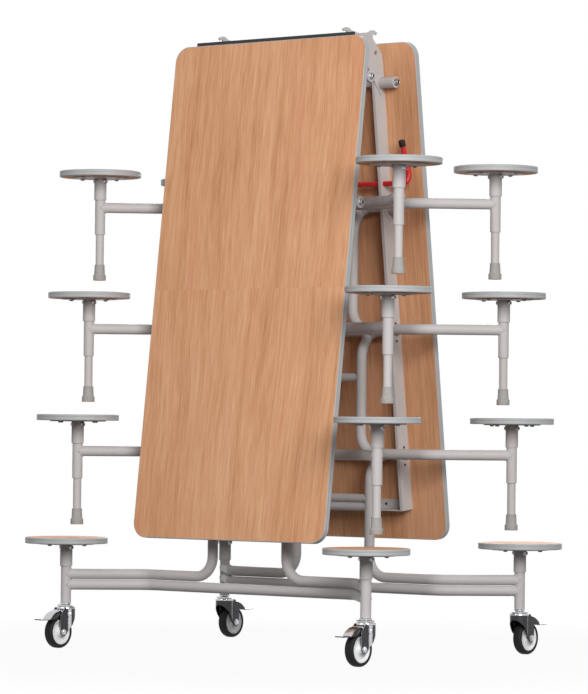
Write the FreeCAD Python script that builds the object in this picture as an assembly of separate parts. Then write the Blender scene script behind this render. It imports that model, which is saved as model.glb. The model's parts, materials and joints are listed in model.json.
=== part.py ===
"""Mobile folding cafeteria table with sixteen round stools, standing folded on its castors.

Millimetres, +Z up, origin on the floor under the middle. The two halves are alike: the front half
is built first, with its outer side towards -Y, and the rear half is the same turned half a turn
about Z. A top is drawn lying flat, its outer face up at z = 0 and its inner end at y = 0, and is
then tilted up. A stool frame stays level and is drawn about its own pivot axis.
"""
import FreeCAD, Part
import math
import os

# Whole table
ROW_COUNT = 4                # stool rows on each half, the last one on castors
ROW_PITCH = 381.0            # between rows, along the top
TOP_TILT = 7.0               # degrees from upright when folded
HINGE_DEPTH = 126.0          # centre hinge axis below the outer face
HINGE_GAP = 1.5              # centre hinge axis beyond the end of each top
RUNNING_FIT = 0.08           # radial play of a turning joint
SEAT_FIT = 0.1               # play of pieces that are pressed or glued together
SIDE_PLAY = 0.3              # play along an axle

# Tops
TOP_LENGTH = 1524.0
TOP_WIDTH = 750.0
TOP_THICKNESS = 19.0
TOP_CORNER = 48.0
EDGING_WIDTH = 2.0
EDGING_ROUND = 1.8

# Rails under each top
RAIL_FACE_X = 249.5          # outer face of the web
RAIL_WIDTH = 10.0
RAIL_DEPTH = 49.5
RAIL_WALL = 2.5
RAIL_START = 50.0            # from the inner end of the top
RAIL_END = 1430.0
CROSSPIECE_FLANGE = 30.0
CROSSPIECE_SCREW = 10.0      # diameter of the screw holes
CROSSPIECE_SCREW_X = 75.0
PIVOT_DEPTH = 41.0           # stool frame pivots below the outer face
FIRST_PIVOT = 120.0          # from the inner end of the top
PIVOT_SHAFT = 25.4
STUB_DIAMETER = 35.0
STUB_END_FIRST = 312.0       # how far the first pivot reaches, on the lever's side
STUB_END_SECOND = 288.0      # and the second one
STUB_END_LONG = 372.0        # how far both reach on the other side
SHAFT_STOP = 31.0            # diameter of the stops beside the arms
SHAFT_STOP_WIDTH = 6.0
RAIL_HOLE = 7.0
RAIL_HOLE_SPACING = 54.0
GUSSET_THICKNESS = 4.0
GUSSET_REACH = 38.0
GUSSETED_ROWS = 2
BRACE = 23.0                 # tie bar across the front rails
BRACE_STATION = 413.0        # along the top
BRACE_DEPTH = 53.0           # below the outer face
BRACE_OVERHANG = 20.0        # how far its free end stands out beyond the top
PIVOT_BOLT = 10.0
PIVOT_BOLT_HEAD = 17.0       # across flats
PIVOT_BOLT_HEAD_HEIGHT = 6.5
PIVOT_WASHER = 24.0
PIVOT_WASHER_HEIGHT = 2.0

# Hinge plates and support strip at the inner end
PLATE_THICKNESS = 5.0
PLATE_CLEARANCE = 8.0        # under the board
PLATE_LAP = 68.0             # along the rail
PLATE_SHOULDER = 34.0        # where the edge beside the board turns away, from the end of the top
PLATE_HEEL = 15.0            # height of the rail-side corner above the hinge axis
HINGE_LOBE = 36.0
HINGE_PIN = 12.0
HINGE_SPACER = 24.0
HINGE_HEAD = 20.0
HINGE_HEAD_HEIGHT = 7.0
PLATE_HOLE = 15.0
PLATE_HOLE_STATION = 27.5    # from the end of the top
PLATE_RISE = 41.5            # hook above the end of the top
HOOK_NOTCH = 10.0            # radius of the notch under the hook
NOTCH_RISE = 20.0            # its centre above the end of the top
NOTCH_DEPTH = 56.5           # and below the outer face
STRIP_LENGTH = 620.0
STRIP_THICKNESS = 5.0
STRIP_LAP = 15.0
STRIP_SEAT = 24.0
STRIP_CLEARANCE = 1.2

# Lock bar on the rear top
LOCK_BAR = 16.0
LOCK_STATION = 426.0         # along the top
LOCK_DEPTH = 53.0            # below the outer face
LOCK_BAR_END = 338.0
LEVER_LENGTH = 129.5
LEVER_BEND = 26.0
LEVER_LEAN = 14.0            # how far the grip stands in from the bar
GRIP_DIAMETER = 20.5
GRIP_LENGTH = 21.0
GRIP_WALL = 2.0
FINGER_THICKNESS = 6.0
FINGER_X = 110.0
FINGER_LENGTH = 58.0
FINGER_HUB = 28.0
FINGER_TIP = 16.0

# Stool frames
TUBE = 31.8                  # arms, cross tubes and posts
TUBE_WALL = 2.0              # posts, lower tubes and crossbars
ARM_WALL = 2.5
BEND_RADIUS = 64.0
ARM_X = 145.0
ARM_SET_IN = 38.0            # the upright part stands in from the pivot by this
ARM_LEAN_DROP = 61.0
FRAME_DROP = 372.0           # pivot axis to arm axis at the foot of the frame
ARM_COLLAR = 36.0
ARM_COLLAR_WIDTH = 40.0
POST_X = 587.0
POST_OUT = 139.0             # the posts stand out from the pivot by this
CROSSBAR = 25.4
CROSSBAR_DROP = 138.0
END_CROSSBAR_DROP = 131.0    # upper one of the pair on an end frame
PAIR_GAP = 1.0               # between the two tubes of a pair
LINK_X = 60.0
LINK_PIN = 12.0
LINK_PIN_IN = 66.0           # levelling link pins, from the pivot
LINK_PIN_DROP = 184.0
LUG_THICKNESS = 5.0
LUG_ROUND = 24.0
LINK_HEIGHT = 22.0
LINK_THICKNESS = 6.0
LINK_PIN_HEAD = 18.0
LINK_PIN_HEAD_HEIGHT = 3.0

# Stool posts, from the arm axis
SEAT_BASE = 94.0             # top of the seat plate
SLEEVE = 38.1
SLEEVE_FOOT = 24.0
POST_FOOT = -84.0
LOWER_TUBE = 25.4
LOWER_TUBE_FOOT = -219.0
POST_PLUG = 10.0
SEAT_PLATE = 172.0
SEAT_PLATE_THICKNESS = 3.0
SEAT_SCREW = 12.0
SEAT_SCREW_HEIGHT = 2.5
SEAT_SCREW_CIRCLE = 150.0
SEAT_SCREWS = 4
SOCKET_BOLT = 8.0
SOCKET_BOLT_LENGTH = 54.0
SOCKET_BOLT_DROP = 12.0      # below the seat plate
FOOT_TOP = 31.0
FOOT_WAIST = 34.0            # just above the ring it stands on
FOOT_RING = 39.5
FOOT_RING_HEIGHT = 17.0
FOOT_HEIGHT = 49.0
FOOT_END = -226.5            # the floor, when the table is open

# Seats
SEAT_DIAMETER = 254.0
SEAT_THICKNESS = 19.0
SEAT_EDGE_WIDTH = 5.0
SEAT_EDGE_ROUND = 3.0

# Castors, from the floor under the stem
CASTOR_HEIGHT = 138.0
WHEEL_DIAMETER = 100.0
RIM_DIAMETER = 78.0
TYRE_WIDTH = 30.0
TYRE_ROUND = 9.0
RIM_WIDTH = 26.0
RIM_WEB = 12.0
RIM_LIP = 6.0
HUB_DIAMETER = 26.0
FORK_GAP = 38.0
FORK_PLATE = 3.0
CASTOR_TRAIL = 33.0
AXLE = 8.0
AXLE_HEAD = 14.0
AXLE_HEAD_HEIGHT = 5.0
CROWN_DIAMETER = 60.0
CROWN_FOOT = 120.0
CROWN_HEIGHT = 6.0
CUP_DIAMETER = 38.0
STEM = 12.0
STEM_LENGTH = 36.0
AXLE_LOBE = 24.0
FORK_BROW = 104.0            # lowest point of the fork's closed front
PEDAL_INNER = 56.0           # radius about the axle
PEDAL_THICKNESS = 2.5
PEDAL_WIDTH = 34.0
PEDAL_SKIRT = 1.4            # thickness of the side walls
PEDAL_SKIRT_INNER = 47.0     # radius about the axle
PEDAL_SWEEP = 50.0           # degrees
PEDAL_REACH = 150.0
PEDAL_TAB_WIDTH = 26.0
PEDAL_PIN = 5.0
PEDAL_BARREL = 10.0
PEDAL_PIN_RISE = 63.0        # above the axle

# Worked out from the sizes above
OPEN_ANGLE = 90.0 - TOP_TILT
WHEEL_RADIUS = WHEEL_DIAMETER / 2
RAIL_BACK_X = RAIL_FACE_X - RAIL_WIDTH
RAIL_FOOT_DEPTH = TOP_THICKNESS + RAIL_DEPTH
ARM_HEIGHT = -FOOT_END       # a stool frame's foot reaches the floor when its pivot is lowest
END_PIVOT_HEIGHT = ARM_HEIGHT + FRAME_DROP
LAST_ROW = ROW_COUNT - 1
ORIGIN = FreeCAD.Vector(0, 0, 0)
X_DIRECTION = FreeCAD.Vector(1, 0, 0)
Z_DIRECTION = FreeCAD.Vector(0, 0, 1)


def point(x, y, z):
    """Short form of a vector."""
    return FreeCAD.Vector(x, y, z)


def rod(diameter, start, end):
    """Round bar between two points."""
    along = end - start
    return Part.makeCylinder(diameter / 2, along.Length, start, along)


def rod_x(diameter, x_start, x_end, y, z):
    """Round bar along X."""
    return rod(diameter, point(x_start, y, z), point(x_end, y, z))


def rod_z(diameter, x, y, z_start, z_end):
    """Round bar along Z."""
    return rod(diameter, point(x, y, z_start), point(x, y, z_end))


def block(low, high):
    """Box between two corners."""
    size = high - low
    return Part.makeBox(size.x, size.y, size.z, low)


def plate_x(corners, x_start, thickness):
    """Flat plate square to X, from its outline as (y, z) corners."""
    outline = [point(x_start, y, z) for y, z in corners]
    face = Part.Face(Part.makePolygon(outline + outline[:1]))
    return face.extrude(point(thickness, 0, 0))


def fused(solids):
    """One solid from several that overlap."""
    return solids[0].multiFuse(solids[1:]).removeSplitter()


def hexagon_head(across_flats, x_start, height, y, z):
    """Hexagonal bolt head along X."""
    radius = across_flats / 2 / math.cos(math.radians(30))
    turns = [math.radians(60 * i) for i in range(6)]
    corners = [(y + radius * math.cos(turn), z + radius * math.sin(turn)) for turn in turns]
    return plate_x(corners, x_start, height)


def bent_bar(points, bend, diameter):
    """Round bar along straight runs joined by tangent arcs of one radius."""
    pieces = []
    start = points[0]
    for before, corner, after in zip(points, points[1:], points[2:]):
        back = (before - corner).normalize()
        ahead = (after - corner).normalize()
        turn = math.pi - back.getAngle(ahead)
        trim = bend * math.tan(turn / 2)
        arc_start = corner + back * trim
        arc_end = corner + ahead * trim
        centre = corner + (back + ahead).normalize() * (bend / math.cos(turn / 2))
        axis = (arc_start - centre).cross(arc_end - centre)
        section = Part.Face(Part.Wire([Part.makeCircle(diameter / 2, arc_start, back)]))
        pieces.append(rod(diameter, start, arc_start))
        pieces.append(section.revolve(centre, axis, math.degrees(turn)))
        start = arc_end
    pieces.append(rod(diameter, start, points[-1]))
    return fused(pieces)


def bent_tube(points):
    """The outside and the bore of a bent frame tube, as two solids."""
    return bent_bar(points, BEND_RADIUS, TUBE), bent_bar(points, BEND_RADIUS, TUBE - 2 * ARM_WALL)


def turned(profile):
    """Solid of revolution about X from (x, radius) corners."""
    outline = [point(x, 0, radius) for x, radius in profile]
    face = Part.Face(Part.makePolygon(outline + outline[:1]))
    return face.revolve(ORIGIN, X_DIRECTION, 360)


# Placing

def flat_to_folded(shape):
    """Tilt a piece of the front top up from lying flat to its folded place."""
    placed = shape.copy()
    placed.rotate(ORIGIN, X_DIRECTION, OPEN_ANGLE)
    placed.translate(top_shift())
    return placed


def tilted(y, z):
    """A point (y, z) of the flat top after tilting, before the shift."""
    turn = math.radians(OPEN_ANGLE)
    return y * math.cos(turn) - z * math.sin(turn), y * math.sin(turn) + z * math.cos(turn)


def pivot_station(row):
    """Distance of a row's pivot from the inner end of the top."""
    return FIRST_PIVOT + row * ROW_PITCH


def top_shift():
    """Where the inner end of the front top's outer face stands when folded."""
    hinge_y, _ = tilted(HINGE_GAP, -HINGE_DEPTH)
    _, pivot_z = tilted(-pivot_station(LAST_ROW), -PIVOT_DEPTH)
    return point(0, -hinge_y, END_PIVOT_HEIGHT - pivot_z)


def pivot_place(row):
    """The pivot axis of a front row, folded."""
    y, z = tilted(-pivot_station(row), -PIVOT_DEPTH)
    return point(0, y, z) + top_shift()


def at_row(shape, row):
    """Move a piece drawn about its pivot axis to its row."""
    placed = shape.copy()
    placed.translate(pivot_place(row))
    return placed


def at_castor(shape, side):
    """Move a castor piece from the origin to its post."""
    placed = shape.copy()
    placed.translate(point(side * POST_X, pivot_place(LAST_ROW).y - POST_OUT, 0))
    return placed


def for_half(shape, half):
    """The rear half is the front half turned half a turn."""
    placed = shape.copy()
    if half == "rear":
        placed.rotate(ORIGIN, Z_DIRECTION, 180)
    return placed


# Tops

def rounded_slab(inset, depth_start, depth_end):
    """Slab of the top's plan shape, drawn in from its edge by an inset."""
    low = point(-TOP_WIDTH / 2 + inset, -TOP_LENGTH + inset, -depth_end)
    high = point(TOP_WIDTH / 2 - inset, -inset, -depth_start)
    slab = block(low, high)
    upright = [edge for edge in slab.Edges if abs(edge.tangentAt(edge.FirstParameter).z) > 0.9]
    return slab.makeFillet(TOP_CORNER - inset, upright)


def top_board():
    """Laminated board inside the edging."""
    return rounded_slab(EDGING_WIDTH, 0, TOP_THICKNESS)


def top_edging():
    """Rounded moulding round the board."""
    slab = rounded_slab(0, 0, TOP_THICKNESS)
    rims = [edge for edge in slab.Edges if edge.BoundBox.ZLength < TOP_THICKNESS / 2]
    slab = slab.makeFillet(EDGING_ROUND, rims)
    return slab.cut(rounded_slab(EDGING_WIDTH - SEAT_FIT, -1, TOP_THICKNESS + 1))


def rail(side):
    """Channel with its web outwards and its flanges pointing in."""
    outer = block(point(RAIL_BACK_X, -RAIL_END, -RAIL_FOOT_DEPTH),
                  point(RAIL_FACE_X, -RAIL_START, -TOP_THICKNESS))
    hollow = block(point(RAIL_BACK_X - 1, -RAIL_END - 1, -RAIL_FOOT_DEPTH + RAIL_WALL),
                   point(RAIL_FACE_X - RAIL_WALL, -RAIL_START + 1, -TOP_THICKNESS - RAIL_WALL))
    channel = outer.cut(hollow)
    for row in range(1, ROW_COUNT):
        for end in (-1, 1):
            station = pivot_station(row) + end * RAIL_HOLE_SPACING / 2
            channel = channel.cut(rod_x(RAIL_HOLE, RAIL_BACK_X, RAIL_FACE_X + 1, -station, -PIVOT_DEPTH))
    return channel if side > 0 else channel.mirror(ORIGIN, X_DIRECTION)


def crosspiece():
    """Angle that ties the outer ends of the rails."""
    web = block(point(-RAIL_BACK_X, -RAIL_END, -RAIL_FOOT_DEPTH),
                point(RAIL_BACK_X, -RAIL_END + RAIL_WALL, -TOP_THICKNESS))
    flange = block(point(-RAIL_BACK_X, -RAIL_END, -TOP_THICKNESS - RAIL_WALL),
                   point(RAIL_BACK_X, -RAIL_END + CROSSPIECE_FLANGE, -TOP_THICKNESS))
    angle = web.fuse(flange)
    for side in (-1, 1):
        for share in (1, 2):
            x = side * share * CROSSPIECE_SCREW_X
            y = -RAIL_END + CROSSPIECE_FLANGE / 2
            angle = angle.cut(rod_z(CROSSPIECE_SCREW, x, y, -RAIL_FOOT_DEPTH, 0))
    return angle


def pivot_ends(row):
    """Distances at which a pivot ends, on the -X side and on the +X side."""
    if row >= GUSSETED_ROWS:
        return RAIL_FACE_X, RAIL_FACE_X
    return (STUB_END_FIRST if row == 0 else STUB_END_SECOND), STUB_END_LONG


def pivot_shaft(row):
    """Pivot shaft between the rails, with its thicker ends and the stops beside the arms."""
    y = -pivot_station(row)
    z = -PIVOT_DEPTH
    low, high = pivot_ends(row)
    web_x = RAIL_FACE_X - RAIL_WALL
    pieces = [rod_x(PIVOT_SHAFT, -web_x - 1, web_x + 1, y, z)]
    if row < GUSSETED_ROWS:
        pieces.append(rod_x(STUB_DIAMETER, web_x, high, y, z))
        pieces.append(rod_x(STUB_DIAMETER, -low, -web_x, y, z))
    stop_start = ARM_X + ARM_COLLAR_WIDTH / 2 + SIDE_PLAY
    for side in (-1, 1):
        near, far = sorted((side * stop_start, side * (stop_start + SHAFT_STOP_WIDTH)))
        pieces.append(rod_x(SHAFT_STOP, near, far, y, z))
    return fused(pieces)


def pivot_bores(row):
    """Threaded bores for a pivot's end bolts."""
    y = -pivot_station(row)
    z = -PIVOT_DEPTH
    low, high = pivot_ends(row)
    return [rod_x(PIVOT_BOLT, high - STUB_DIAMETER, high + 1, y, z),
            rod_x(PIVOT_BOLT, -low - 1, -low + STUB_DIAMETER, y, z)]


def brace():
    """Tie bar across the front rails, with its free end beyond the top on the -X side."""
    overhang = -TOP_WIDTH / 2 - BRACE_OVERHANG
    bar = rod_x(BRACE, overhang, RAIL_FACE_X + 1, -BRACE_STATION, -BRACE_DEPTH)
    return bar.makeFillet(BRACE / 8, [edge for edge in bar.Edges if edge.BoundBox.XMax < overhang + 1])


def gusset(row, side):
    """Pointed plate on the web under a pivot."""
    y = -pivot_station(row)
    z = -PIVOT_DEPTH
    spread = STUB_DIAMETER / 2
    corners = [(y + spread, z + spread), (y + spread, z - spread), (y, -RAIL_FOOT_DEPTH),
               (y - GUSSET_REACH, z), (y - spread, z + spread / 2), (y - spread, z + spread)]
    x_start = RAIL_FACE_X if side > 0 else -RAIL_FACE_X - GUSSET_THICKNESS
    return plate_x(corners, x_start, GUSSET_THICKNESS)


def hinge_plate(x_start):
    """Hook plate from the rail to the centre hinge axis."""
    hinge_z = -HINGE_DEPTH
    lobe = HINGE_LOBE / 2
    lap = RAIL_START + PLATE_LAP
    board_z = -TOP_THICKNESS - PLATE_CLEARANCE
    notch_y = NOTCH_RISE
    notch_z = -NOTCH_DEPTH
    top_y = PLATE_RISE - HOOK_NOTCH * 0.6
    corners = [
        (-lap, board_z), (-PLATE_SHOULDER, board_z),
        (notch_y - HOOK_NOTCH * 0.6, notch_z - HOOK_NOTCH * 0.8),
        (notch_y + HOOK_NOTCH * 0.6, notch_z + HOOK_NOTCH * 0.8),
        (notch_y + HOOK_NOTCH * 1.25, notch_z + HOOK_NOTCH * 1.4),
        (PLATE_RISE - HOOK_NOTCH / 8, notch_z), (PLATE_RISE, notch_z - HOOK_NOTCH * 1.5),
        (top_y, notch_z - HOOK_NOTCH * 3), (top_y, hinge_z),
        (HINGE_GAP, hinge_z - lobe), (-lobe, hinge_z - lobe / 2),
        (-RAIL_START, hinge_z + PLATE_HEEL), (-lap, -RAIL_FOOT_DEPTH)]
    plate = plate_x(corners, x_start, PLATE_THICKNESS)
    end_x = x_start + PLATE_THICKNESS
    plate = plate.fuse(rod_x(HINGE_LOBE, x_start, end_x, HINGE_GAP, hinge_z))
    plate = plate.cut(rod_x(2 * HOOK_NOTCH, x_start, end_x, notch_y, notch_z))
    plate = plate.cut(rod_x(PLATE_HOLE, x_start, end_x, -PLATE_HOLE_STATION, notch_z))
    pin_play = RUNNING_FIT if x_start >= RAIL_FACE_X or x_start < -RAIL_FACE_X else 0
    bore = rod_x(HINGE_PIN + 2 * pin_play, x_start, end_x, HINGE_GAP, hinge_z)
    return plate.cut(bore).removeSplitter()


def support_strip():
    """Strip under the inner end of the front top that the rear top lies on when open."""
    half = STRIP_LENGTH / 2
    top_z = -TOP_THICKNESS
    seat = block(point(-half, -STRIP_SEAT, top_z - STRIP_THICKNESS), point(half, 0, top_z))
    lip = block(point(-half, -STRIP_SEAT, top_z - STRIP_THICKNESS),
                point(half, STRIP_LAP, top_z - STRIP_CLEARANCE))
    return seat.fuse(lip).removeSplitter()


def rail_frame(half):
    """Rails, pivot shafts, crosspiece and hinge plates, welded together."""
    pieces = [crosspiece()]
    for side in (-1, 1):
        pieces.append(rail(side))
        pieces.extend(gusset(row, side) for row in range(GUSSETED_ROWS))
        if half == "rear":
            face = RAIL_FACE_X
        else:
            face = RAIL_FACE_X - RAIL_WALL - PLATE_THICKNESS
        pieces.append(hinge_plate(face if side > 0 else -face - PLATE_THICKNESS))
    for row in range(ROW_COUNT):
        pieces.append(pivot_shaft(row))
    if half == "front":
        pieces.append(brace())
    frame = fused(pieces)
    for row in range(ROW_COUNT):
        for bore in pivot_bores(row):
            frame = frame.cut(bore)
    if half == "rear":
        for side in (-1, 1):
            bar = LOCK_BAR + 2 * RUNNING_FIT
            near, far = sorted((side * (RAIL_BACK_X - 1), side * (RAIL_FACE_X + 1)))
            frame = frame.cut(rod_x(bar, near, far, -LOCK_STATION, -LOCK_DEPTH))
    return frame


def pivot_bolts():
    """Bolt and washer in each end of each pivot shaft, as separate solids."""
    bolts = []
    for row in range(ROW_COUNT):
        y = -pivot_station(row)
        z = -PIVOT_DEPTH
        low, high = pivot_ends(row)
        for end_x, side in ((high, 1), (low, -1)):
            shank = rod_x(PIVOT_BOLT - 2 * SEAT_FIT, end_x - STUB_DIAMETER / 2, end_x + 1, y, z)
            washer = rod_x(PIVOT_WASHER, end_x, end_x + PIVOT_WASHER_HEIGHT, y, z)
            head = hexagon_head(PIVOT_BOLT_HEAD, end_x + PIVOT_WASHER_HEIGHT,
                                PIVOT_BOLT_HEAD_HEIGHT, y, z)
            bolt = fused([shank, washer, head])
            bolts.append(bolt if side > 0 else bolt.mirror(ORIGIN, X_DIRECTION))
    return Part.Compound(bolts)


def hinge_pins():
    """Pin, spacer and heads of the centre hinge on each side, in world coordinates."""
    pins = []
    y, z = tilted(HINGE_GAP, -HINGE_DEPTH)
    axis = point(0, y, z) + top_shift()
    web_x = RAIL_FACE_X - RAIL_WALL
    inner_x = web_x - PLATE_THICKNESS
    outer_x = RAIL_FACE_X + PLATE_THICKNESS + SIDE_PLAY
    for side in (-1, 1):
        pin = fused([
            rod_x(HINGE_PIN, inner_x - 1, outer_x + 1, axis.y, axis.z),
            rod_x(HINGE_SPACER, web_x, RAIL_FACE_X - SIDE_PLAY, axis.y, axis.z),
            hexagon_head(HINGE_HEAD, inner_x - HINGE_HEAD_HEIGHT, HINGE_HEAD_HEIGHT, axis.y, axis.z),
            hexagon_head(HINGE_HEAD, outer_x, HINGE_HEAD_HEIGHT, axis.y, axis.z)])
        pins.append(pin if side > 0 else pin.mirror(ORIGIN, X_DIRECTION))
    return Part.Compound(pins)


# Lock bar, drawn on the flat top; the lever stands on its -X side

def lock_bar():
    """Cross bar with its lever and two latch fingers."""
    y = -LOCK_STATION
    z = -LOCK_DEPTH
    grip_y = y + LEVER_LENGTH
    grip_z = z - LEVER_LEAN
    lever = bent_bar([point(RAIL_BACK_X, y, z), point(-LOCK_BAR_END, y, z),
                      point(-LOCK_BAR_END, y + LEVER_BEND, z + LEVER_BEND / 2),
                      point(-LOCK_BAR_END, grip_y, grip_z)], LEVER_BEND / 2, LOCK_BAR)
    end = rod_x(LOCK_BAR, RAIL_BACK_X - 1, RAIL_FACE_X + LOCK_BAR, y, z)
    pieces = [lever, end]
    finger = [(y, z + FINGER_HUB / 2), (y - FINGER_LENGTH, z - FINGER_LENGTH + FINGER_TIP),
              (y - FINGER_LENGTH, z - FINGER_LENGTH), (y, z - FINGER_HUB / 2)]
    for side in (-1, 1):
        x_start = side * FINGER_X - FINGER_THICKNESS / 2
        pieces.append(rod_x(FINGER_HUB, x_start, x_start + FINGER_THICKNESS, y, z))
        pieces.append(plate_x(finger, x_start, FINGER_THICKNESS))
    return fused(pieces)


def lever_grip():
    """Cap on the end of the lever."""
    y = -LOCK_STATION
    z = -LOCK_DEPTH
    base = point(-LOCK_BAR_END, y + LEVER_BEND, z + LEVER_BEND / 2)
    tip = point(-LOCK_BAR_END, y + LEVER_LENGTH, z - LEVER_LEAN)
    along = (tip - base).normalize()
    cap = rod(GRIP_DIAMETER, tip - along * (GRIP_LENGTH - GRIP_WALL), tip + along * GRIP_WALL)
    rim = [edge for edge in cap.Edges if edge.BoundBox.YMax > tip.y and edge.Closed]
    cap = cap.makeFillet(GRIP_WALL * 2, rim[:1])
    return cap.cut(rod(LOCK_BAR + 2 * SEAT_FIT, base, tip))


# Stool frames, drawn about the pivot axis, outwards towards -Y

def arm_points(side):
    """Corners of an arm, from the pivot down and out to the post."""
    return [point(side * ARM_X, 0, 0),
            point(side * ARM_X, ARM_SET_IN, -ARM_LEAN_DROP),
            point(side * ARM_X, ARM_SET_IN, -FRAME_DROP),
            point(side * (POST_X - POST_OUT - ARM_SET_IN), ARM_SET_IN, -FRAME_DROP),
            point(side * POST_X, -POST_OUT, -FRAME_DROP)]


def base_points():
    """Corners of the full-width tube under the arms of an end frame."""
    drop = -FRAME_DROP - TUBE - PAIR_GAP
    bend_x = POST_X - POST_OUT - ARM_SET_IN
    return [point(-POST_X, -POST_OUT, drop), point(-bend_x, ARM_SET_IN, drop),
            point(bend_x, ARM_SET_IN, drop), point(POST_X, -POST_OUT, drop)]


def post_solids(x, is_end):
    """Outsides of a stool post: sleeve, post and lower tube, seat plate, screws and socket bolt."""
    y = -POST_OUT
    arm_z = -FRAME_DROP
    base_z = arm_z + SEAT_BASE
    foot_z = CASTOR_HEIGHT - END_PIVOT_HEIGHT if is_end else arm_z + POST_FOOT
    bolt_z = base_z - SOCKET_BOLT_DROP
    half_bolt = SOCKET_BOLT_LENGTH / 2
    solids = [rod_z(TUBE, x, y, foot_z, base_z), rod_z(SLEEVE, x, y, arm_z + SLEEVE_FOOT, base_z),
              rod_z(SEAT_PLATE, x, y, base_z - SEAT_PLATE_THICKNESS, base_z),
              rod_x(SOCKET_BOLT, x - half_bolt, x + half_bolt, y, bolt_z)]
    if not is_end:
        solids.append(rod_z(LOWER_TUBE, x, y, arm_z + LOWER_TUBE_FOOT, foot_z + 1))
    screw_z = base_z - SEAT_PLATE_THICKNESS
    for i in range(SEAT_SCREWS):
        turn = 2 * math.pi * i / SEAT_SCREWS
        screw_x = x + SEAT_SCREW_CIRCLE / 2 * math.cos(turn)
        screw_y = y + SEAT_SCREW_CIRCLE / 2 * math.sin(turn)
        solids.append(rod_z(SEAT_SCREW, screw_x, screw_y, screw_z - SEAT_SCREW_HEIGHT, screw_z))
    return solids


def post_bores(x, is_end):
    """Hollows of a stool post."""
    y = -POST_OUT
    arm_z = -FRAME_DROP
    bore = TUBE - 2 * TUBE_WALL
    top_z = arm_z + SEAT_BASE - SEAT_PLATE_THICKNESS
    if is_end:
        foot_z = CASTOR_HEIGHT - END_PIVOT_HEIGHT
        socket = rod_z(STEM + 2 * RUNNING_FIT, x, y, foot_z, foot_z + STEM_LENGTH + 1)
        return [rod_z(bore, x, y, foot_z + STEM_LENGTH, top_z), socket]
    foot_z = arm_z + POST_FOOT
    lower_bore = LOWER_TUBE - 2 * TUBE_WALL
    lower = rod_z(lower_bore, x, y, arm_z + LOWER_TUBE_FOOT, foot_z - POST_PLUG)
    return [rod_z(bore, x, y, foot_z + POST_PLUG, top_z), lower]


def link_lug(crossbar_drop):
    """Plate and headed pin that the levelling link turns on."""
    x_start = LINK_X + LINK_THICKNESS / 2 + SIDE_PLAY
    x_end = x_start + LUG_THICKNESS
    pin_y = LINK_PIN_IN
    pin_z = -LINK_PIN_DROP
    bar_y = ARM_SET_IN
    half = LUG_ROUND / 2
    web = plate_x([(bar_y + half, -crossbar_drop), (pin_y + half, pin_z), (pin_y, pin_z - half),
                   (pin_y - half, pin_z), (bar_y - half / 2, -crossbar_drop)], x_start, LUG_THICKNESS)
    head_start = LINK_X - LINK_THICKNESS / 2 - SIDE_PLAY - LINK_PIN_HEAD_HEIGHT
    head_end = head_start + LINK_PIN_HEAD_HEIGHT
    return [web, rod_x(LUG_ROUND, x_start, x_end, pin_y, pin_z),
            rod_x(LINK_PIN, head_start, x_end, pin_y, pin_z),
            rod_x(LINK_PIN_HEAD, head_start, head_end, pin_y, pin_z)]


def crossbar(drop):
    """Tube between the two arms."""
    return [rod_x(size, -ARM_X, ARM_X, ARM_SET_IN, -drop) for size in (CROSSBAR, CROSSBAR - 2 * TUBE_WALL)]


def stool_frame(is_end):
    """Welded frame of one row, with its two stool posts."""
    drops = [END_CROSSBAR_DROP, END_CROSSBAR_DROP + CROSSBAR + PAIR_GAP] if is_end else [CROSSBAR_DROP]
    solids = link_lug(drops[-1])
    bores = []
    for drop in drops:
        outside, bore = crossbar(drop)
        solids.append(outside)
        bores.append(bore)
    half_collar = ARM_COLLAR_WIDTH / 2
    for side in (-1, 1):
        outside, bore = bent_tube(arm_points(side))
        near = side * ARM_X - half_collar
        solids += [outside, rod_x(ARM_COLLAR, near, near + 2 * half_collar, 0, 0)]
        solids += post_solids(side * POST_X, is_end)
        bores += [bore] + post_bores(side * POST_X, is_end)
        shaft = PIVOT_SHAFT + 2 * RUNNING_FIT
        bores.append(rod_x(shaft, near - 1, near + 2 * half_collar + 1, 0, 0))
    if is_end:
        outside, bore = bent_tube(base_points())
        solids.append(outside)
        bores.append(bore)
    return fused(solids).cut(bores)


def both_posts(shape):
    """A piece drawn on the pivot axis plane, once on each post."""
    copies = []
    for side in (-1, 1):
        placed = shape.copy()
        placed.translate(point(side * POST_X, -POST_OUT, -FRAME_DROP))
        copies.append(placed)
    return Part.Compound(copies)


def seat_disc():
    """Seat board inside its edging."""
    radius = SEAT_DIAMETER / 2 - SEAT_EDGE_WIDTH
    return rod_z(2 * radius, 0, 0, SEAT_BASE, SEAT_BASE + SEAT_THICKNESS)


def seat_edge():
    """Rounded moulding round a seat."""
    disc = rod_z(SEAT_DIAMETER, 0, 0, SEAT_BASE, SEAT_BASE + SEAT_THICKNESS)
    rims = [edge for edge in disc.Edges if edge.Closed and edge.BoundBox.ZLength < 1]
    disc = disc.makeFillet(SEAT_EDGE_ROUND, rims)
    inner = SEAT_DIAMETER - 2 * SEAT_EDGE_WIDTH + 2 * SEAT_FIT
    return disc.cut(rod_z(inner, 0, 0, SEAT_BASE - 1, SEAT_BASE + SEAT_THICKNESS + 1))


def rubber_foot():
    """Foot over the end of the lower tube, with the wider ring it stands on."""
    top_z = FOOT_END + FOOT_HEIGHT
    ring_z = FOOT_END + FOOT_RING_HEIGHT
    ring = rod_z(FOOT_RING, 0, 0, FOOT_END, ring_z)
    neck = Part.makeCone(FOOT_WAIST / 2, FOOT_TOP / 2, top_z - ring_z, point(0, 0, ring_z), Z_DIRECTION)
    socket = rod_z(LOWER_TUBE + 2 * SEAT_FIT, 0, 0, LOWER_TUBE_FOOT, top_z + 1)
    return ring.fuse(neck).cut(socket).removeSplitter()


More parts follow.
